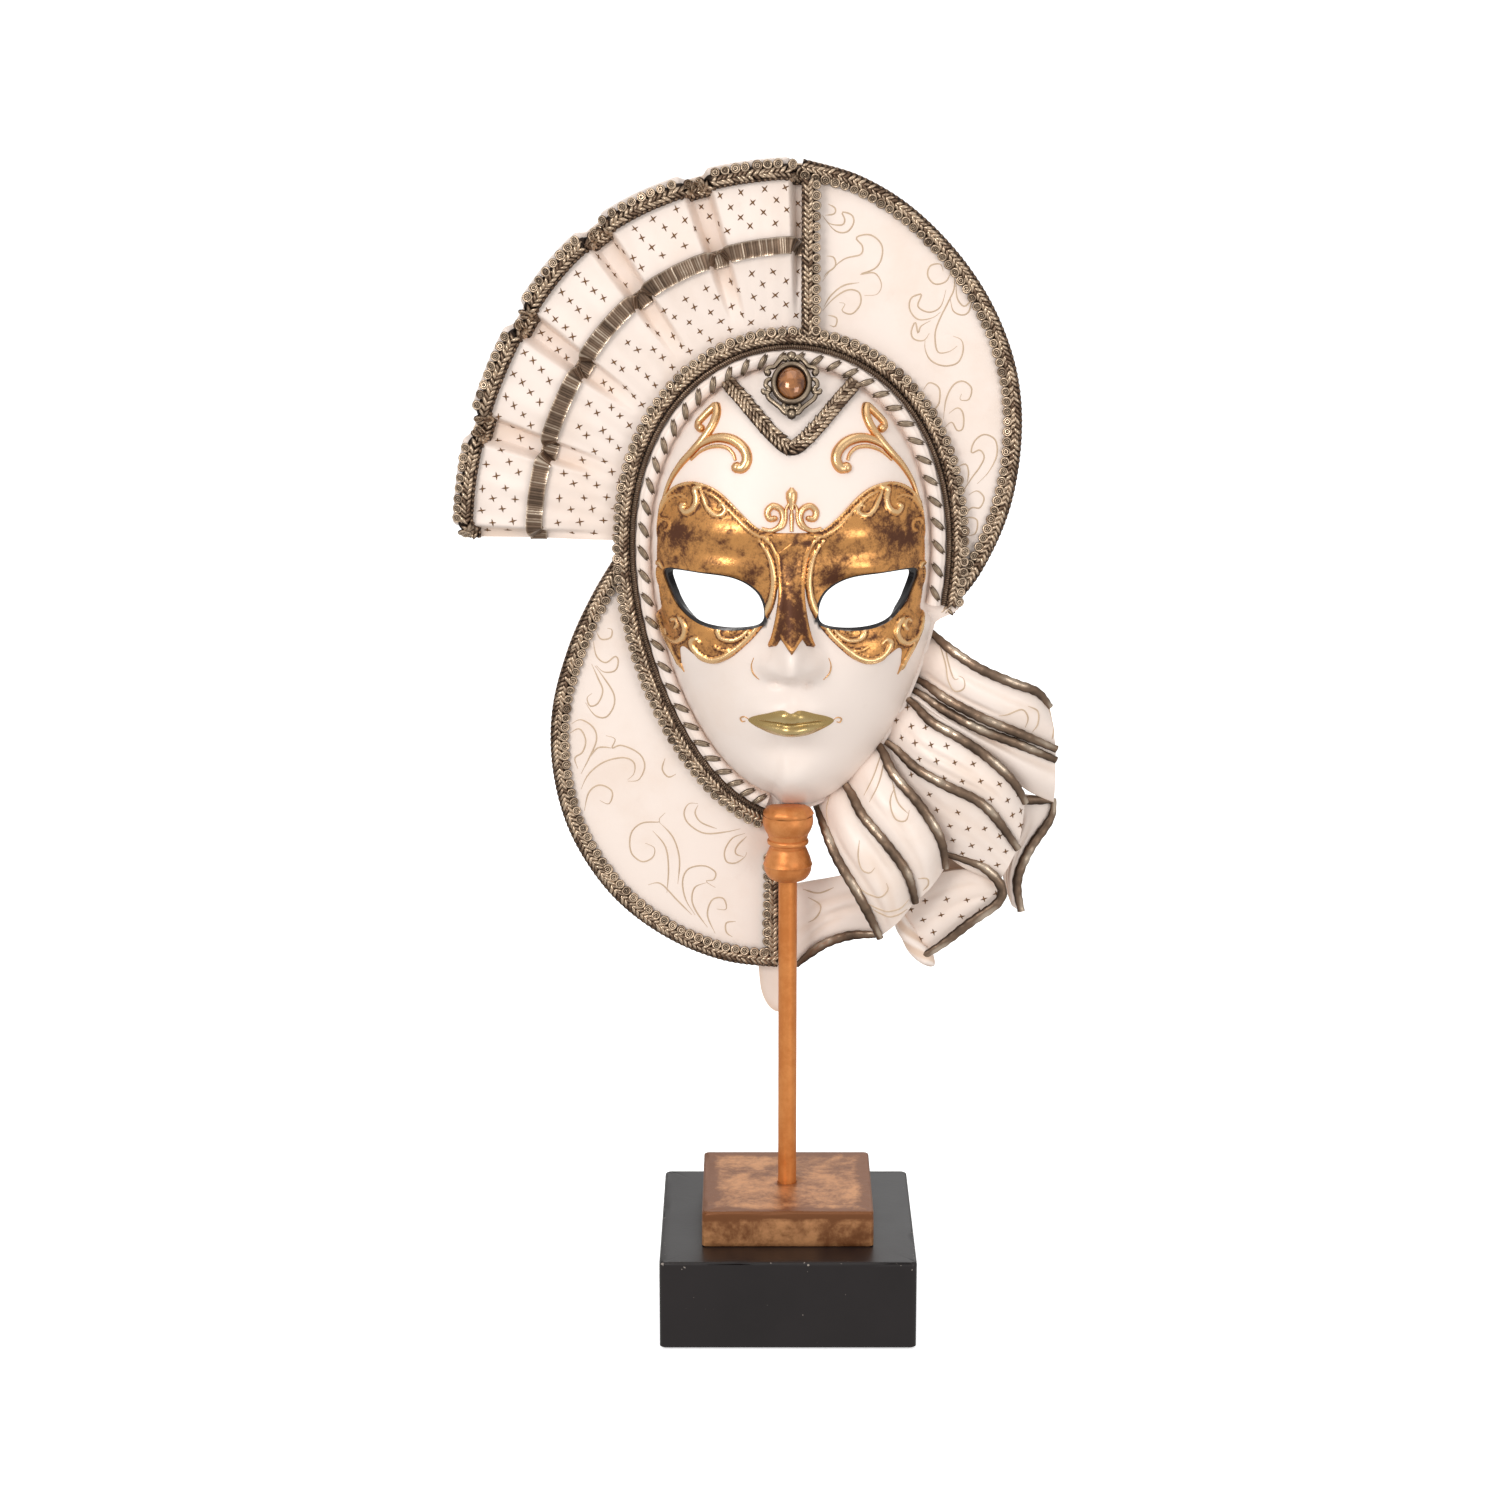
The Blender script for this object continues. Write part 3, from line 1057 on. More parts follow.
UPPER_OUTER = [(7.5, 177), (28, 171), (49, 158.5), (69, 139), (84, 116.5), (93.5, 91), (96, 64), (92, 34),
               (81, 7), (68, -10)]
LOWER_OUTER = [(-73, 13), (-84, -5), (-94.5, -28), (-102, -56), (-102, -84), (-94.5, -112), (-78, -138),
               (-56, -156), (-31, -167), (-5, -171)]
upper_inner, upper_outer = oval(np.linspace(6, 97, 90), 3), curve(UPPER_OUTER, 12)
SEAM_X = -4.5
lower_inner = np.concatenate([oval(np.linspace(-85, -172, 60), 3),
                              [(SEAM_X, z) for z in np.linspace(-105, -161, 26)]])
lower_outer = curve(LOWER_OUTER, 12)
panel("upper_crescent", "upper_panel", upper_inner, upper_outer)
panel("lower_crescent", "lower_panel", lower_inner, lower_outer)
route = edge_route(upper_inner, upper_outer)
start = route[0] + (route[0] - route[2]) * np.linspace(2.4, 0.4, 6)[:, None]
braid("upper_crescent_braid", "upper_panel_braid", np.concatenate([start, route]), BRAID_W, BRAID_H, -1, 3)
route = edge_route(lower_inner, lower_outer)
braid("lower_crescent_braid", "lower_panel_braid", route, BRAID_W, BRAID_H, 1, 4)
post = to_brim([(8, z) for z in np.linspace(106, 170, 65)], 4)
braid("divider_rosettes", "divider_braid", post, BRAID_W, BRAID_H, -1, 5)
post = to_brim([(SEAM_X - 3.5, z) for z in np.linspace(-166, -119, 48)], 0.3)
braid("lower_end_rosettes", "lower_end_braid", post, BRAID_W - 1, 3.2, 1, 6)


def drawn_lines(name, lines, place, width, height):
    """Fine stained outlines on a cream surface; place lays flat points on it, those beside it as NaN."""
    form = Form()
    for line in lines:
        p = place(even(curve(line, 6), 0.9))
        p = p[np.isfinite(p).all(1)]
        if len(p) > 4:
            sweep(form, p, round_section(width, height, 5), tapered(len(p), 0.3, 0.3, 0.25), wear=0.5)
    form.piece(name, "ivory_resin", line_paint)


UPPER_SCROLLS = [
    [(15.2, 159.7), (18.1, 158), (17.8, 155.7), (14.1, 155.1)],
    [(12.9, 155.1), (15.8, 151.7), (21.1, 151.1), (22.2, 153.4), (21.1, 156.3), (25.1, 155.1), (25.8, 151.7),
     (22.9, 148.2), (18.2, 148.8), (13.5, 154)],
    [(13, 127.8), (16.5, 132.5), (22.3, 137.2), (28.8, 138.9), (29.6, 142.4), (27, 145.9), (32.8, 147),
     (37.5, 143), (37.5, 137.2), (34.7, 133.1), (28.8, 130.8), (34.7, 131.3), (37.6, 126.7), (35.9, 122.6),
     (30.6, 122)],
    [(13.7, 117.3), (16.6, 122), (21.8, 126.1), (28.3, 127.3)],
    [(13.1, 115.6), (17.8, 120.8), (23.6, 124.3), (28.3, 123.2), (28.9, 118.5), (25.4, 114.4), (21.3, 115.6),
     (22.5, 118.5), (20.1, 119.1)],
    [(14.7, 138.3), (17.7, 137.7), (18.3, 134.2), (14.8, 131.3), (13.6, 129.6)],
    [(15.4, 113.8), (19, 112.6), (18.4, 109.1), (16.1, 109.7)],
    [(67.4, 133.7), (68.1, 125.5), (65.8, 119.7), (61.8, 111.5), (60.2, 105.6), (61.4, 98.5), (66.1, 98.5),
     (69.6, 100.9)],
    [(66.8, 132.5), (64.6, 127.8), (59.9, 126.7), (56.9, 130.2), (58, 134.2), (62.1, 134.8), (63.3, 131.9)],
    [(64.6, 124.3), (62.4, 117.3), (57.7, 115), (53, 117.3), (54.1, 121.4), (54.1, 122.6), (50, 120.8),
     (49.5, 116.1), (53, 112), (58.9, 112.6), (62.4, 115)],
    [(58.3, 111.5), (54.2, 109.1), (53.1, 106.2), (51.9, 110.9), (50.2, 106.8), (51.4, 103.8), (55.5, 103.2),
     (57.8, 106.2)],
    [(68.7, 127.8), (69.3, 120.8), (72.3, 117.3), (75.2, 119.7), (74.1, 115), (71.2, 113.8), (67.7, 115.6),
     (66.4, 120.8)],
    [(67.8, 105), (71.4, 103.2), (72, 98.5), (69.7, 93.8), (63.9, 92.6), (58.5, 95), (56.1, 99.7),
     (56.1, 103.2)],
    [(55.7, 82.6), (58.1, 85.5), (62.2, 83.2), (62.3, 77.2), (60.6, 73.7), (63, 68.9)],
    [(64.2, 70.1), (65.2, 78.4), (68.1, 84.4), (72.2, 86.1), (75.8, 83.2), (74.7, 78.4), (71.1, 78.4),
     (71.7, 80.8)],
    [(66.5, 72.5), (70, 74.9), (72.4, 72.5), (72.5, 66.5), (70.1, 65.3), (67.7, 68.9), (64.8, 66.5)],
    [(78.8, 42.6), (83.4, 47.4), (86.9, 54.6), (86.2, 61.2), (81.4, 63.6), (77.3, 60.6), (76.2, 55.8),
     (79.7, 57), (81.6, 54), (79.8, 49.8), (76.4, 45), (72.9, 39), (71.2, 33)],
    [(70.4, 49.8), (73.9, 51), (75.1, 47.4), (74.6, 43.2)],
    [(75.3, 37.8), (78.8, 39.6), (81.8, 36.6), (80.1, 32.4), (76.6, 32.4), (74.2, 29.4), (73.1, 24.6)],
    [(72.5, 27), (75.4, 28.2), (79, 27), (78.5, 21.5), (74.9, 20.3)]]
LOWER_SCROLLS = [
    [(-82.9, -21.2), (-81, -24.6), (-76.9, -23.9), (-76.2, -20.5), (-78.2, -19.8)],
    [(-84.3, -25.3), (-83, -32.1), (-79.1, -34.9), (-75, -32.1), (-73.7, -34.2), (-75.1, -38.3), (-79.8, -39),
     (-83.1, -36.3)],
    [(-85.1, -35.6), (-82.5, -41.8), (-80.5, -47.3), (-82.6, -52.8), (-86, -54.2), (-87.3, -50.7),
     (-85.2, -48.6)],
    [(-83.8, -36.3), (-79.8, -41.8), (-75.8, -48.6), (-75.9, -54.2), (-79.3, -59), (-84, -58.3),
     (-88, -52.8)],
    [(-94.2, -62.4), (-90.1, -60.4), (-84.8, -63.8), (-83.5, -69.4), (-86.9, -77.7), (-90.4, -84.7)],
    [(-94.9, -66.6), (-90.8, -64.5), (-88.2, -69.4), (-89.6, -74.9), (-93, -77.7), (-91.7, -82.6)],
    [(-90.5, -91.7), (-87, -84.7), (-80.2, -79.1), (-72.1, -77), (-67.4, -79.1), (-67.4, -84),
     (-70.1, -86.8)],
    [(-79.4, -67.3), (-75.4, -68.7), (-76.8, -72.8), (-72.7, -71.5), (-65.3, -74.9), (-62.7, -80.5),
     (-65.4, -86.8), (-70.2, -87.5)],
    [(-86.9, -77.7), (-82.8, -72.8), (-76.8, -72.8)],
    [(-89.2, -101.5), (-87.1, -93.1), (-82.3, -89.6), (-77, -92.4), (-78.4, -98), (-82.4, -96.6)],
    [(-53.9, -77), (-55.2, -81.9), (-52.6, -85.4), (-49.2, -84)],
    [(-39.8, -97.3), (-43.8, -97.3), (-45.9, -101.5), (-43.9, -106.4), (-37.1, -110.6), (-27.6, -109.9),
     (-21.5, -108.5)],
    [(-39.8, -98), (-41.1, -101.5), (-38.5, -105.7), (-31.7, -108.5)],
    [(-19.5, -110.6), (-24.9, -112.7), (-28.3, -118.3), (-27.6, -123.3), (-23.6, -124), (-19.5, -121.1),
     (-18.8, -119)],
    [(-18.8, -112), (-22.9, -116.2), (-23.6, -119.7), (-20.2, -121.1)],
    [(-54, -101.5), (-56.7, -104.3), (-56.8, -105.7), (-64.2, -106.4), (-69, -111.3), (-69.1, -119.7),
     (-64.4, -124), (-59.6, -121.9), (-58.9, -117.6), (-62.9, -115.5)],
    [(-56.8, -105.7), (-50.7, -112.7), (-48, -122.6), (-48.8, -133.9)],
    [(-59.5, -109.9), (-54.1, -116.9), (-52.8, -126.8), (-53.6, -138.1)],
    [(-61.7, -134.6), (-56.3, -133.9), (-49.5, -141), (-42.7, -148.1)],
    [(-32.4, -135.3), (-36.5, -132.5), (-33.1, -131.7), (-32.4, -128.2), (-37.2, -125.4), (-44, -126.8),
     (-46.7, -132.5), (-45.4, -141), (-41.3, -148.1)],
    [(-36.5, -133.2), (-41.3, -135.3), (-42.7, -141), (-40.7, -146.7), (-35.9, -153.8)],
    [(-32.5, -156.6), (-35.9, -148.1), (-33.8, -141), (-29, -140.3), (-27.7, -145.2), (-31.8, -145.2)],
    [(-23.6, -150.9), (-27.7, -151.6), (-27.7, -155.9), (-25, -158.1)]]
for name, lines in (("upper", UPPER_SCROLLS), ("lower", LOWER_SCROLLS)):
    drawn_lines(name + "_crescent_scrolls", lines, lambda p: to_brim(p, 0.05), 0.68, 0.374)

# ---------------------------------------------------------------- fan
FAN_X, FAN_Z, FAN_FROM, FAN_TO = 4, 18.5, 180, 89.6
FAN_IN_X, FAN_OUT_X, FAN_IN_Z, FAN_OUT_Z, VALLEY = 71, 147, 82, 160, 3


def fan_place(q, t):
    """Point of the fan at part q of the way round and t of the way out, and how deep in a valley it is."""
    a = mix(FAN_FROM, FAN_TO, q)
    s = q * PLEATS - np.floor(np.minimum(q * PLEATS, PLEATS - 1e-9))
    k = ease((s - 0.07) / 0.08) * ease((0.93 - s) / 0.08)
    swell = ease((t - 0.12) / 0.5)
    reach = 1 + 0.028 * np.exp(-((a - 128) / 20) ** 2)
    c, n = np.cos(np.radians(a)), np.sin(np.radians(a))
    x = FAN_X + mix(FAN_IN_X, (FAN_OUT_X - VALLEY * (1 - k)) * reach, t) * c
    z = FAN_Z + mix(FAN_IN_Z, (FAN_OUT_Z - VALLEY * (1 - k)) * reach, t) * n
    flat = np.stack([x, z], -1)
    crown = 0.9 * np.sin(np.pi * np.clip((s - 0.1) / 0.8, 0, 1)) * swell
    wrinkle = 0.7 * np.sin(q * 77 + 4 * t) * swell + 0.3 * np.sin(q * 151 - 7 * t)
    y = brim_y(flat) + PLEAT_H / 2 * swell * (1 - 2 * k) - crown + wrinkle * 0.5
    return np.stack([x, y, z], -1), (1 - k) * swell


q, t = np.meshgrid(np.linspace(0, 1, 361), np.linspace(0, 1, 44), indexing="ij")
grid, valley = fan_place(q, t)
stain = 0.65 * valley * (0.6 + 0.4 * np.sin(q * 60 + t * 9)) + 0.2 * np.exp(-t * 16)
sheet(Form(), grid, PANEL_T, stain).piece("pleated_fan", "ivory_resin", resin, ["fan"], crease=40)


def fan_route(t, lift):
    """Path round the fan, over its pleats."""
    p = fan_place(np.linspace(0, 1, 300), np.full(300, float(t)))[0]
    return p - (0, lift, 0)


route = fan_route(0.945, 0.8)
route = np.concatenate([route, route[-1] + (route[-1] - route[-3]) * np.linspace(0.5, 2.5, 5)[:, None]])
braid("fan_rosette_braid", "fan_edge_braid", route, BRAID_W + 0.8, 3.8, 1, 8)

# ribbed ribbon half way out, whose ribs differ in height
path = even(fan_route(0.55, 0.9), 0.35)
pick = random.Random(11)
rib, level = [], 0.5
for i in range(len(path)):
    if i % 3 == 0:
        level = pick.uniform(0.3, 1.0)
    rib.append(level if i % 3 else level * 0.4)
rib = np.array(rib)[:, None]
HALF_RIBBON, SELVEDGE = 3.5, [0, 8]
section = np.zeros((len(path), 12, 2))
section[:, :, 0] = np.concatenate([np.linspace(-1, 1, 9) * HALF_RIBBON,
                                   [HALF_RIBBON + 0.1, 0, -HALF_RIBBON - 0.1]])
section[:, 1:8, 1] = 1.1 + 0.25 * rib
section[:, SELVEDGE, 1] = 1.5
wear = np.full((len(path), 12), 0.1)
wear[:, 1:8] = 0.1 + 0.85 * rib
wear[:, SELVEDGE] = 0.95
ribbon = Form()
sweep(ribbon, path, section, wear=wear.ravel())
ribbon.piece("ribbed_fan_ribbon", "pewter_trim", piping_paint, ["fan_ribbon"])


def cross_marks(name, spots, size, seed):
    """Small painted crosses; spots are (centre, outward direction, turn in degrees)."""
    pick = random.Random(seed)
    marks = []
    for centre, out, turn in spots:
        out = np.asarray(out) / np.linalg.norm(out)
        x = np.cross((0, 0, 1.0), out)
        x /= np.linalg.norm(x)
        z = np.cross(out, x)
        for extra in (0, 90):
            a = math.radians(turn + extra + pick.uniform(-8, 8))
            d = x * math.cos(a) + z * math.sin(a)
            k = size * pick.uniform(0.85, 1.12) * 2
            marks.append((np.asarray(centre) + out * 0.05, d, np.cross(out, d), out, (k, 0.75, 0.5)))
    form = Form()
    stamp(form, leaf_shape(5, 6), marks)
    form.piece(name, "ivory_resin", cross_paint)


# crosses on the fan in staggered rows, none of them under the ribbon or the braid
spots = []
pick = random.Random(21)
for row in range(14):
    t = 0.045 + row * 0.062
    if 0.47 < t < 0.635 or t > 0.885:
        continue
    radius = mix(76, 153, t)
    count = int(radius * 1.57 / 9.6)
    for i in range(count):
        way_round = (i + (0.25 if row % 2 else 0.75)) / count + pick.uniform(-0.003, 0.003)
        way_out = t + pick.uniform(-0.006, 0.006)
        here = fan_place(np.array(way_round), np.array(way_out))[0]
        beside = fan_place(np.array(min(way_round + 0.004, 1)), np.array(way_out))[0]
        beyond = fan_place(np.array(way_round), np.array(way_out + 0.01))[0]
        out = np.cross(beside - here, beyond - here)
        out = out * (1 if out[1] < 0 else -1)
        spots.append((here, out, mix(0, 42, way_round) + pick.uniform(-14, 14)))
cross_marks("fan_crosses", spots, 1.85, 1)

# ---------------------------------------------------------------- ribbons
# routes are (x, y, z) points: folds carry a piping, hems are the other edges of the cloth
FOLDS = {
    "1": [(54, 5, -17), (61, 1, -22), (68, -6, -27), (80, -12, -34), (94, -13, -40), (105, -9, -45),
          (111, -2, -53)],
    "2": [(50, 5, -41), (57, 0, -43), (67, -9, -48.5), (82, -14, -55.5), (97, -13, -62), (114, -5, -71)],
    "2b": [(50, 5, -46), (56, 0, -48), (67, -8, -54), (82, -13, -61), (97, -12, -67), (114, -4, -76)],
    "3": [(46, 5, -48), (53, -2, -52), (60, -9, -58), (72, -14, -64), (84, -16, -72), (95, -14, -83),
          (101, -8, -94)],
    "4": [(38, 5, -68), (45, -4, -71), (54, -12, -78), (66, -17, -84), (83, -18, -93), (98, -10, -114)],
    "5": [(33, 5, -66), (39, -5, -71), (44, -13, -80), (55, -19, -92), (64, -18, -107), (67, -12, -122)],
    "6": [(20, 5, -84), (26, -7, -90), (31, -15, -98), (41, -21, -109), (50, -21, -122), (54, -14, -137)],
    "7": [(11, 5, -98), (15, -8, -106), (20, -14, -117), (28, -18, -130), (34, -16, -142), (39, -10, -154)]}
HEMS = {
    "2": [(45, 5, -50), (52, 2, -54), (60, -4, -60), (74, -8, -68), (88, -8, -78), (102, -4, -90),
          (114, 0, -96.5)],
    "4": [(32, 5, -70), (40, 1, -80), (50, -5, -96), (62, -8, -112), (74, -8, -123), (90, -6, -131)],
    "left": [(2, 6, -135), (9, 4, -133), (16, 1, -131), (25, -3, -128)],
    "left_edge": [(3, 8, -172), (14, 5, -162), (26, 0, -156), (37, -5, -154)],
    "cross": [(49, 3, -142), (56, 1, -133), (67, -2, -127), (80, -3, -126), (90, -4, -131)],
    "cross_edge": [(51, 1, -157), (57, -1, -164), (66, -3, -158.5), (78, -5, -148), (90, -6, -138)],
    "right": [(95, 1, -92), (94, 2, -112), (93, 3, -130), (97, 4, -144)],
    "right_edge": [(114, 3, -95), (113, 4, -104), (104, 3, -118), (99, 3, -132), (101, 4, -146)]}
CROSS_PIPING = [(67, -8, -117), (76, -9, -119.5), (84, -9, -123), (91, -8, -131), (90, -8, -138.5),
                (78, -7, -148), (66, -5, -158.5), (57, -3, -165)]


def cloth(a, b, puff, seed, steps=90, rows=30, creases=1.0):
    """Puffed and creased sheet between two folds: its points, and how stained its creases are."""
    p, q = curve(a, 12), curve(b, 12)
    u = np.linspace(0, 1, steps + 1)
    p, q = along(p, u), along(q, u)
    pick = random.Random(seed)
    v = np.linspace(0.004, 0.996, rows + 1)
    grid = p[:, None] * (1 - v[None, :, None]) + q[:, None] * v[None, :, None]
    hump = np.sin(np.pi * v) * (0.72 + 0.28 * np.sin(np.pi * v))
    fold, deep = np.zeros((steps + 1, rows + 1)), np.zeros((steps + 1, rows + 1))
    for _ in range(4):
        lane, drift, width = pick.uniform(0.18, 0.82), pick.uniform(-0.3, 0.3), pick.uniform(0.045, 0.09)
        begin, end = sorted((pick.uniform(-0.1, 0.5), pick.uniform(0.5, 1.2)))
        depth = pick.uniform(0.5, 1.0) * creases
        reach = ease((u - begin) / 0.2) * ease((end - u) / 0.2)
        dent = np.exp(-((v[None] - lane - drift * (u[:, None] - 0.5)) / width) ** 2) * reach[:, None] * depth
        fold += dent
        deep = np.maximum(deep, dent)
    y = PIPING_R + 0.3 - (puff + 0.8) * hump + fold * np.minimum(1, 4 * hump)
    grid[..., 1] += y
    stain = 0.4 * deep + 0.4 * np.exp(-v[None] * 16) + 0.4 * np.exp(-(1 - v[None]) * 16)
    return grid, stain


surfaces = {}


def cloth_piece(name, node, a, b, puff, seed, creases=1.0):
    """One puffed band of ribbon; its front is kept in surfaces, for what is drawn on it."""
    grid, stain = cloth(a, b, puff, seed, creases=creases)
    sheet(Form(), grid, RIBBON_T, stain, 0.25).piece(name, "ivory_resin", resin, [node], crease=60)
    faces = grid_faces(*grid.shape[:2], False)
    surfaces[name] = BVHTree.FromPolygons([Vector(p) for p in grid.reshape(-1, 3)], faces)


cloth_piece("ribbon_loop_1", "ribbon_1", FOLDS["1"], FOLDS["2"], 3, 31)
cloth_piece("ribbon_loop_2", "ribbon_2", FOLDS["2b"], HEMS["2"], 3, 32)
cloth_piece("ribbon_loop_3", "ribbon_3", FOLDS["3"], FOLDS["4"], 3, 33, 0.6)
cloth_piece("ribbon_loop_4", "ribbon_4", FOLDS["4"], HEMS["4"], 2, 34, 0.6)
cloth_piece("ribbon_loop_5", "ribbon_5", FOLDS["5"], FOLDS["6"], 4, 35, 0.8)
cloth_piece("ribbon_loop_6", "ribbon_6", FOLDS["6"], FOLDS["7"], 4, 36, 0.8)
cloth_piece("ribbon_end_left", "tail_left", HEMS["left"], HEMS["left_edge"], 1, 37)
cloth_piece("ribbon_end_crossed", "tail_cross", HEMS["cross"], HEMS["cross_edge"], 1, 38, 0.5)
cloth_piece("ribbon_end_right", "tail_right", HEMS["right"], HEMS["right_edge"], 1, 39)

# narrow strip of cloth between the two pipings of the second fold
grid, stain = cloth(FOLDS["2"], FOLDS["2b"], 0.3, 44, 90, 6, 0)
sheet(Form(), grid + (0, 0.4, 0), RIBBON_T, stain, 0.2).piece("ribbon_join", "ivory_resin", resin, crease=60)


def on_cloth(name, flat, lift=0.1):
    """The front of a ribbon at flat points, with the direction it faces."""
    spots, outs = [], []
    for x, z in flat:
        hit, n, _, _ = surfaces[name].ray_cast(Vector((x, -90, z)), Vector((0, 1, 0)))
        if hit is None:
            spots.append((math.nan,) * 3)
            outs.append(FRONT)
        else:
            n = n if n.y < 0 else -n
            spots.append(tuple(hit + n * lift))
            outs.append(tuple(n))
    return np.array(spots), np.array(outs)


def ribbon_lines(name, piece, lines):
    drawn_lines(name, lines, lambda p: on_cloth(piece, p)[0], 0.7, 0.4)


ribbon_lines("ribbon_1_scrolls", "ribbon_loop_1", [
    [(63, -24.2), (65.9, -33.1), (67, -39.7), (69.8, -44.2), (73.6, -42.5), (73.5, -38.6), (71.3, -37.5)],
    [(65.8, -25.3), (66.9, -32), (69.2, -38.6), (71.3, -38.6)],
    [(88.4, -54.2), (91.6, -53.6), (98.1, -51.4), (100.9, -55.3), (99.9, -59.8)],
    [(100.8, -50.3), (105.2, -53.1), (105.3, -58.6), (103.2, -62)],
    [(109.5, -52), (112.9, -57.5), (112, -66.5)]])
ribbon_lines("ribbon_5_scrolls", "ribbon_loop_5", [
    [(39, -72.8), (35.8, -80.7), (31.5, -89.6)],
    [(40.1, -75.1), (38, -82.9), (33.7, -91.9)],
    [(44.5, -85.1), (42.4, -90.8), (44.6, -97.5), (49, -98.1), (50.6, -94.1)],
    [(43.4, -82.9), (45.6, -90.8), (50, -95.3)],
    [(54.7, -124.7), (58.6, -124.7), (59.1, -128.1), (57, -130.9)]])
ribbon_lines("ribbon_6_scrolls", "ribbon_loop_6", [
    [(29.5, -107.7), (29, -114.5), (30.6, -120.1), (33.9, -121.3), (36.1, -119)],
    [(25.2, -123.5), (29.6, -129.2), (37.3, -132.7), (41.7, -129.2), (41.1, -125.8)],
    [(32.9, -136.1), (40.6, -139.5), (47.2, -138.4), (51, -134.9)],
    [(35.2, -138.9), (42.9, -142.4), (50.5, -139.5)],
    [(17.4, -91.9), (15.8, -97.5), (16.3, -103.2)]])
ribbon_lines("ribbon_left_scrolls", "ribbon_end_left", [
    [(5.8, -136.8), (12.5, -137.9), (19.1, -134.5)],
    [(8, -140.2), (13.6, -143.7), (11.4, -149.5), (8.1, -151.8)]])


def ribbon_crosses(name, piece, flat, seed):
    p, n = on_cloth(piece, flat, 0.0)
    good = np.isfinite(p).all(1)
    cross_marks(name, [(a, b, 20) for a, b in zip(p[good], n[good])], 1.6, seed)


ribbon_crosses("ribbon_3_crosses", "ribbon_loop_3", [
    (50.3, -53.7), (45.5, -59.3), (51.7, -60.6), (57.7, -60.6), (47.7, -66), (53.2, -67.1), (59.9, -67.1),
    (66.5, -67.3), (55.1, -73.8), (62.2, -73.8), (69.9, -74), (77.7, -74.4), (65.6, -81.1), (73.2, -82),
    (80.9, -81.7), (89, -83.4), (76.6, -89.6), (85.4, -89.9), (92.7, -90.7), (97.6, -89.6), (87.9, -96.9),
    (95, -97.7), (98.8, -96.9), (98.9, -103.1)], 41)
ribbon_crosses("ribbon_4_crosses", "ribbon_loop_4", [
    (51.8, -81.1), (59.5, -89), (62.7, -95.7), (71.6, -96.3), (68.4, -102.9), (76.1, -103.7), (83.2, -103.7),
    (89.8, -107.6), (69.9, -109.7), (77.9, -111.8), (85.8, -113.5), (92.7, -115), (74.1, -116.1),
    (82.4, -119.6), (89.3, -121.3), (94.8, -121.6)], 42)
ribbon_crosses("ribbon_tail_crosses", "ribbon_end_crossed", [
    (58.9, -140.3), (68.1, -138.8), (76.8, -138.8), (84.1, -138), (89.3, -135.3), (52.9, -144.6),
    (65.9, -146.1), (74.5, -146.3), (82.4, -143.7), (58.1, -148.8), (52.6, -153.2), (62.6, -154),
    (57.1, -157.6)], 43)


def piping(name, node, *paths, seed=1):
    """Flattened metal edging with a groove along it and uneven bright rubbing."""
    pick = random.Random(seed)
    form = Form()
    for points in paths:
        path = even(curve(points, 8), 0.7)
        a = circle(16)
        groove = 1 - 0.08 * np.exp(-((a - math.pi / 2) / 0.28) ** 2)
        section = np.stack([2.15 * np.cos(a), 1.45 * np.sin(a) * groove], 1)
        waver = 1 + 0.06 * np.sin(np.arange(len(path)) * 0.9 + pick.uniform(0, 6))
        bright = np.clip(0.2 + 0.62 * np.sin(a + 0.5), 0, 1)
        shade = 0.85 + 0.3 * np.sin(np.arange(len(path)) * 0.17 + pick.uniform(0, 6))
        thick = waver * tapered(len(path), 0.6, 0.75, 0.3)
        sweep(form, path, section, thick, wear=(bright[None] * shade[:, None]).ravel())
    form.piece(name, "pewter_trim", piping_paint, [node])


for k, key in enumerate("1234567"):
    second = [FOLDS["2b"]] if key == "2" else []
    piping("edging_" + key, "piping_" + key, FOLDS[key], *second, seed=50 + k)
RIGHT_TOP = [(93, 0, -94.5), (102, 1, -95), (113.4, 3, -95.6)]
piping("edging_left", "piping_left", HEMS["left_edge"], seed=60)
piping("edging_crossed", "piping_cross", CROSS_PIPING, seed=61)
piping("edging_right", "piping_right", HEMS["right_edge"], RIGHT_TOP, seed=62)

# rolled end, wound in a spiral and rounded off at its tip
path = even(curve([(47, 3, -143), (50, 1, -153), (56, -1, -162), (63, -2, -169)], 8), 0.5)
u = np.linspace(0, 1, len(path))
a = circle(32)
spiral = np.cos(3 * (a[None] + u[:, None] * 5))
radius = mix(2.4, 3.6, np.sin(np.radians(150 * u)))[:, None] * (1 + 0.1 * spiral)
section = np.stack([radius * np.cos(a), radius * np.sin(a)], -1)
tip_off = np.sqrt(np.clip((1.003 - u) / 0.13, 0.02, 1))
twist = Form()
sweep(twist, path, section, tip_off, wear=np.clip(0.6 - spiral, 0, 1).ravel())
twist.piece("rolled_ribbon_end", "ivory_resin", resin, ["tail_twist"], crease=60)


def at_depth(flat, y):
    return np.stack([flat[:, 0], y + 0 * flat[:, 0], flat[:, 1]], 1)


# small end behind the rod
TIP = [(-13, -160), (-13, -180), (-10, -190), (-5, -194), (-1, -190), (-2, -180), (-3, -160)]
tip = even(curve(TIP, 8, True), 0.8)
flat, tris = plate(tip, [], mesh_grid(tip, 1.2), 0.5)
swell = 0.7 * ease(nearest(flat, tip, True)[0] / 3)
form = Form()
layer(form, at_depth(flat, 9.9 - swell), at_depth(flat, 11.6), tris, wear=(0.6 - 0.6 * swell, 0.2))
form.piece("small_ribbon_end", "ivory_resin", resin, ["tail_small"], crease=60)

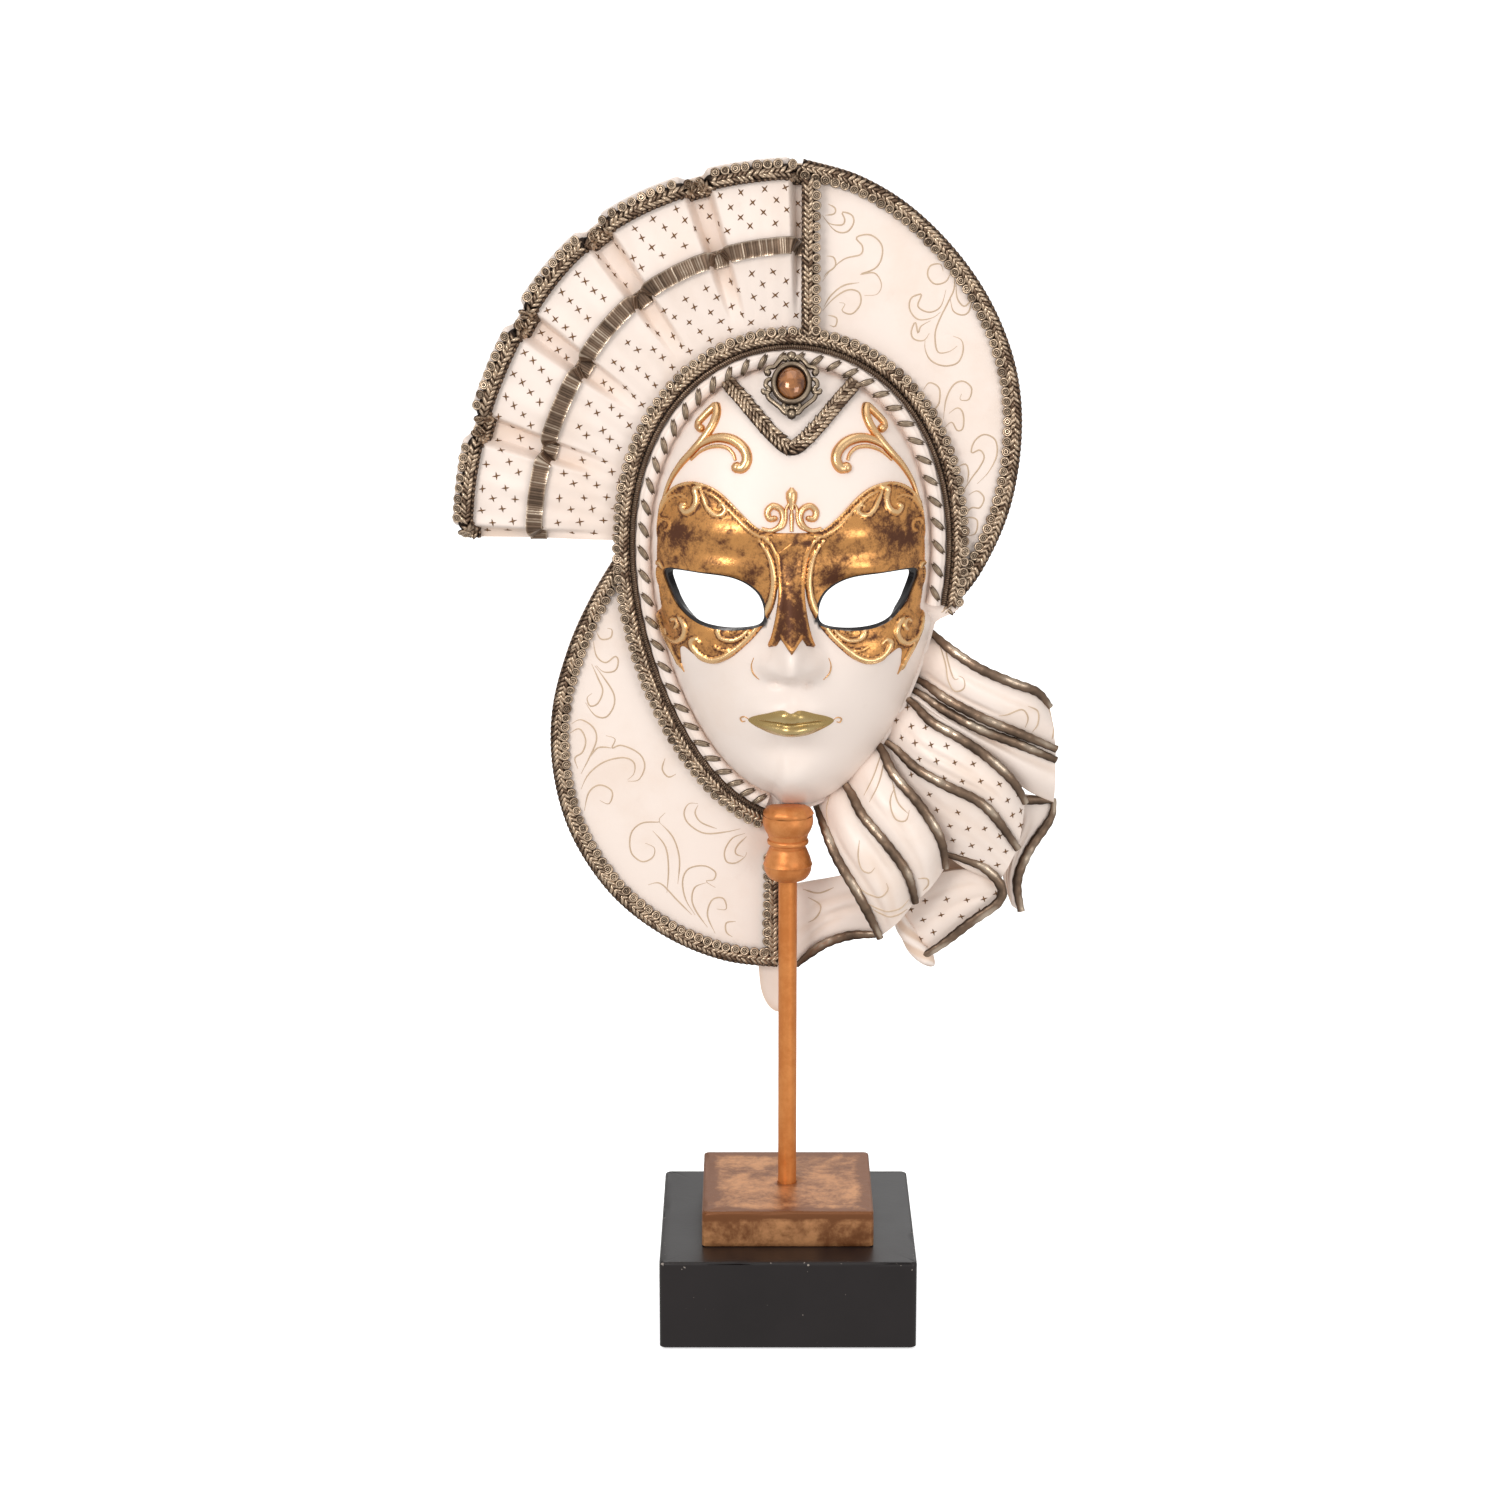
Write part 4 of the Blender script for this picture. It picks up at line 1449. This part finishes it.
# darker cloth that shows between the ribbons
INNER = [(44, -128), (60, -118), (78, -112), (92, -112), (92, -126), (84, -134), (66, -138), (50, -146)]
loop = even(curve(INNER, 6, True), 1)
flat, tris = plate(loop, [], mesh_grid(loop, 1.6), 0.5)
wave = 1.2 * np.sin(flat[:, 0] * 0.35 + flat[:, 1] * 0.2)
form = Form()
layer(form, at_depth(flat, 7.4 + wave), at_depth(flat, 9 + wave), tris, wear=(0.3, 0.3))
form.piece("inner_fold", "ivory_resin", shadow_paint, crease=60)


# ---------------------------------------------------------------- stand
def square_ring(half, r, z):
    """Square with rounded corners, and points all along its sides."""
    a = np.linspace(0, math.pi / 2, 9)
    s = np.linspace(0, 1, 24)[1:-1, None]

    def rounded(turn):
        way = turn + math.pi / 4
        middle = (half - r) * math.sqrt(2) * np.array([math.cos(way), math.sin(way), 0])
        return middle + level_ring(r, z, a + turn)

    out = []
    for turn in np.arange(4) * math.pi / 2:
        corner, following = rounded(turn), rounded(turn + math.pi / 2)
        out += [corner, corner[-1] * (1 - s) + following[0] * s]
    return np.concatenate(out)


def bored_block(name, node, slot, material, width, corner, low, high, hole_z, edge, dents, seed):
    """Square block with softened, slightly worn edges and the rod's bore down its middle."""
    half = width / 2
    pick = np.random.default_rng(seed)
    levels = [(low, half - 0.5, corner), (low + 0.5, half, corner)]
    levels += [(z, half, corner) for z in np.linspace(low + 2, high - edge - 0.6, 9)]
    levels += [(high - edge + edge * math.sin(t), half - edge * (1 - math.cos(t)), corner)
               for t in np.linspace(0, math.pi / 2, 7)]
    levels += [(high, half * k, max(corner * k, 1)) for k in (0.93, 0.8, 0.62, 0.45, 0.3)]
    rings = [square_ring(h, min(r, h * 0.4), z) for z, h, r in levels]
    n = len(rings[0])
    angle = np.arctan2(rings[0][:, 1], rings[0][:, 0])
    bore = [(8, high), (BORE_R + 0.3, high), (BORE_R, high - 0.3), (BORE_R, mix(high, hole_z, 0.5)),
            (BORE_R, hole_z)]
    rings = np.array(rings + [level_ring(r, z, angle) for r, z in bore])
    side_gap = (np.abs(rings[..., :2]).max(-1) - half) / 2.2
    edge_near = np.exp(-((rings[..., 2] - high) / 2.2) ** 2) * np.exp(-side_gap ** 2)
    dent = pick.normal(0, 1, rings.shape[:2])
    dent = np.clip((dent + np.roll(dent, 1, 1) + np.roll(dent, -1, 1)) / 2.2 - 0.6, 0, 1.6) * dents
    away = np.stack([-np.sign(rings[..., 0]), -np.sign(rings[..., 1]), -np.ones(rings.shape[:2])], -1)
    rings = rings + away * (dent * edge_near)[..., None] * 0.35
    faces = grid_faces(len(rings), n, caps=hole_z > low)
    if hole_z <= low:
        faces += bore_faces(len(rings), n)
    form = Form()
    form.add(rings, faces, wear=edge_near.ravel())
    form.piece(name, slot, material, [node], "stand", STAND, 50)


bored_block("lacquered_plinth", "plinth", "black_lacquer", lacquer, PLINTH_W, 2.2, PLINTH_FOOT, PLINTH_TOP,
            BORE_FOOT, 1.3, 1.0, 71)
bored_block("gilt_block", "gold_block", "worn_gilding", block_paint, BLOCK_W, 1.8, PLINTH_TOP, BLOCK_TOP,
            PLINTH_TOP, 1.1, 0.6, 72)


def turned(name, node, slot, material, profile, lumps=0.0, bored=False):
    """Lathed piece; profile is (radius, height) points from its foot up, or all round if bored."""
    pick = np.random.default_rng(1)
    a = circle(96)
    waves = [(pick.integers(2, 9), pick.uniform(0, 6), pick.uniform(0.4, 1)) for _ in range(5)]
    rings = []
    for r, z in profile:
        w = sum(s * np.sin(k * a + p + z * 0.35) for k, p, s in waves) * lumps
        rings.append(level_ring(r + w, z, a))
    faces = grid_faces(len(rings), len(a), caps=not bored)
    if bored:
        faces += bore_faces(len(rings), len(a))
    form = Form()
    form.add(rings, faces, wear=0.3)
    form.piece(name, slot, material, [node], "mask", STAND, 50)


rod = [(ROD_R - 0.3, ROD_FOOT), (ROD_R, ROD_FOOT + 0.3)]
rod += [(ROD_R, z) for z in np.linspace(ROD_FOOT + 2, ROD_TOP - 2, 60)] + [(ROD_R, ROD_TOP)]
turned("gilt_rod", "stem_rod", "rod_gilding", rod_paint, rod, 0.008)


def with_rings(r, z):
    """The cup's radius, with a raised ring at its neck and a groove in its bowl."""
    return r + 0.45 * math.exp(-((z - 201.4) / 0.5) ** 2) - 0.3 * math.exp(-((z - 209.3) / 0.5) ** 2)


CUP = [(5, 0), (8, 1.2), (10, 4.5), (10, 9), (8.4, 13.5), (7.6, 15.6), (8.8, 16.6), (8.8, 18), (7.8, 19.2),
       (9.6, 22), (10.8, 25.5), (10.7, 29)]
cup = [(BORE_R, 194.2), (BORE_R, 221), (BORE_R, 222.8)] + [(r, CUP_FOOT + z) for r, z in curve(CUP, 8)]
cup = [(with_rings(r, z), z) for r, z in cup]
turned("turned_cup", "stem_cup", "cup_gilding", cup_paint, cup, bored=True)

# putty collar between cup and chin: lumpy, and lower towards its back
a = circle(72)
bumps = 0.5 * np.sin(5 * a + 1) + 0.35 * np.sin(9 * a + 2) + 0.25 * np.sin(14 * a)
rings = []
for r, k in ((10.5, 0.0), (10.9, 0.15), (10.4, 0.4), (9.4, 0.75), (7.5, 1.0), (4, 1.05), (0.3, 1.05)):
    lumpy = r + bumps * (0.35 if r > 8 else 0)
    x, y = lumpy * np.cos(a), np.minimum(lumpy * np.sin(a), 3)
    top = 5.2 - np.clip((y + 10) * 0.1, 0, 1.3)
    rings.append(np.stack([x, y, COLLAR_FOOT + top * k], 1))
collar = Form()
collar.add(rings, grid_faces(len(rings), len(a)), wear=0.4)
collar.piece("putty_collar", "cup_gilding", cup_paint, ["chin_collar"], "mask", STAND, 60)

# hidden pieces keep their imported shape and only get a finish
HIDDEN = {"plinth_felt": felt, "block_screws": steel, "rod_pad": nylon, "backing_ring": lacquer,
          "ribbon_backing": shadow_paint}
for name, material in HIDDEN.items():
    obj = bpy.data.objects[name]
    for slot in obj.material_slots:
        slot.material = material
    if not obj.material_slots:
        obj.data.materials.append(material)

# ---------------------------------------------------------------- floor and light, in metres
floor = bpy.data.meshes.new("floor")
floor.from_pydata([(-60, -60, 0), (60, -60, 0), (60, 60, 0), (-60, 60, 0)], [], [(0, 1, 2, 3)])
f = Finish("studio_floor")
pale = f.blend(f.noise(3), (0.93, 0.93, 0.93, 1), (0.96, 0.96, 0.96, 1))
floor.materials.append(f.done(pale, 0.75, emission_color=(1, 1, 1, 1), emission_strength=0.6))
ground = bpy.data.objects.new("floor", floor)
bpy.context.scene.collection.objects.link(ground)
ground.visible_diffuse = ground.visible_glossy = False

world = bpy.data.worlds.new("studio")
bpy.context.scene.world = world
world.use_nodes = True
sky = world.node_tree.nodes["Background"]
sky.inputs["Color"].default_value = (1.0, 0.99, 0.975, 1)
sky.inputs["Strength"].default_value = 0.66
# name, place, size, power in watts, colour
LIGHTS = [
    ("key", (-1.0, -1.8, 1.2), 0.8, 19, (1.0, 0.975, 0.95)),
    ("fill", (1.1, -1.7, 0.3), 1.0, 9, (1.0, 0.98, 0.96)),
    ("top", (0.0, -0.3, 2.0), 1.4, 5.5, (1.0, 1.0, 1.0)),
    ("back", (0.4, 1.8, 1.3), 1.2, 5, (1.0, 1.0, 1.0))]
AIM = Vector((0, 0, 0.28))
for name, spot, size, power, colour in LIGHTS:
    light = bpy.data.lights.new(name, "AREA")
    light.size, light.energy, light.color = size, power, colour
    lamp = bpy.data.objects.new(name, light)
    lamp.location = spot
    lamp.rotation_euler = (AIM - Vector(spot)).to_track_quat("-Z", "Y").to_euler()
    bpy.context.scene.collection.objects.link(lamp)
bpy.context.scene.view_settings.view_transform = "Standard"

bpy.context.view_layer.update()
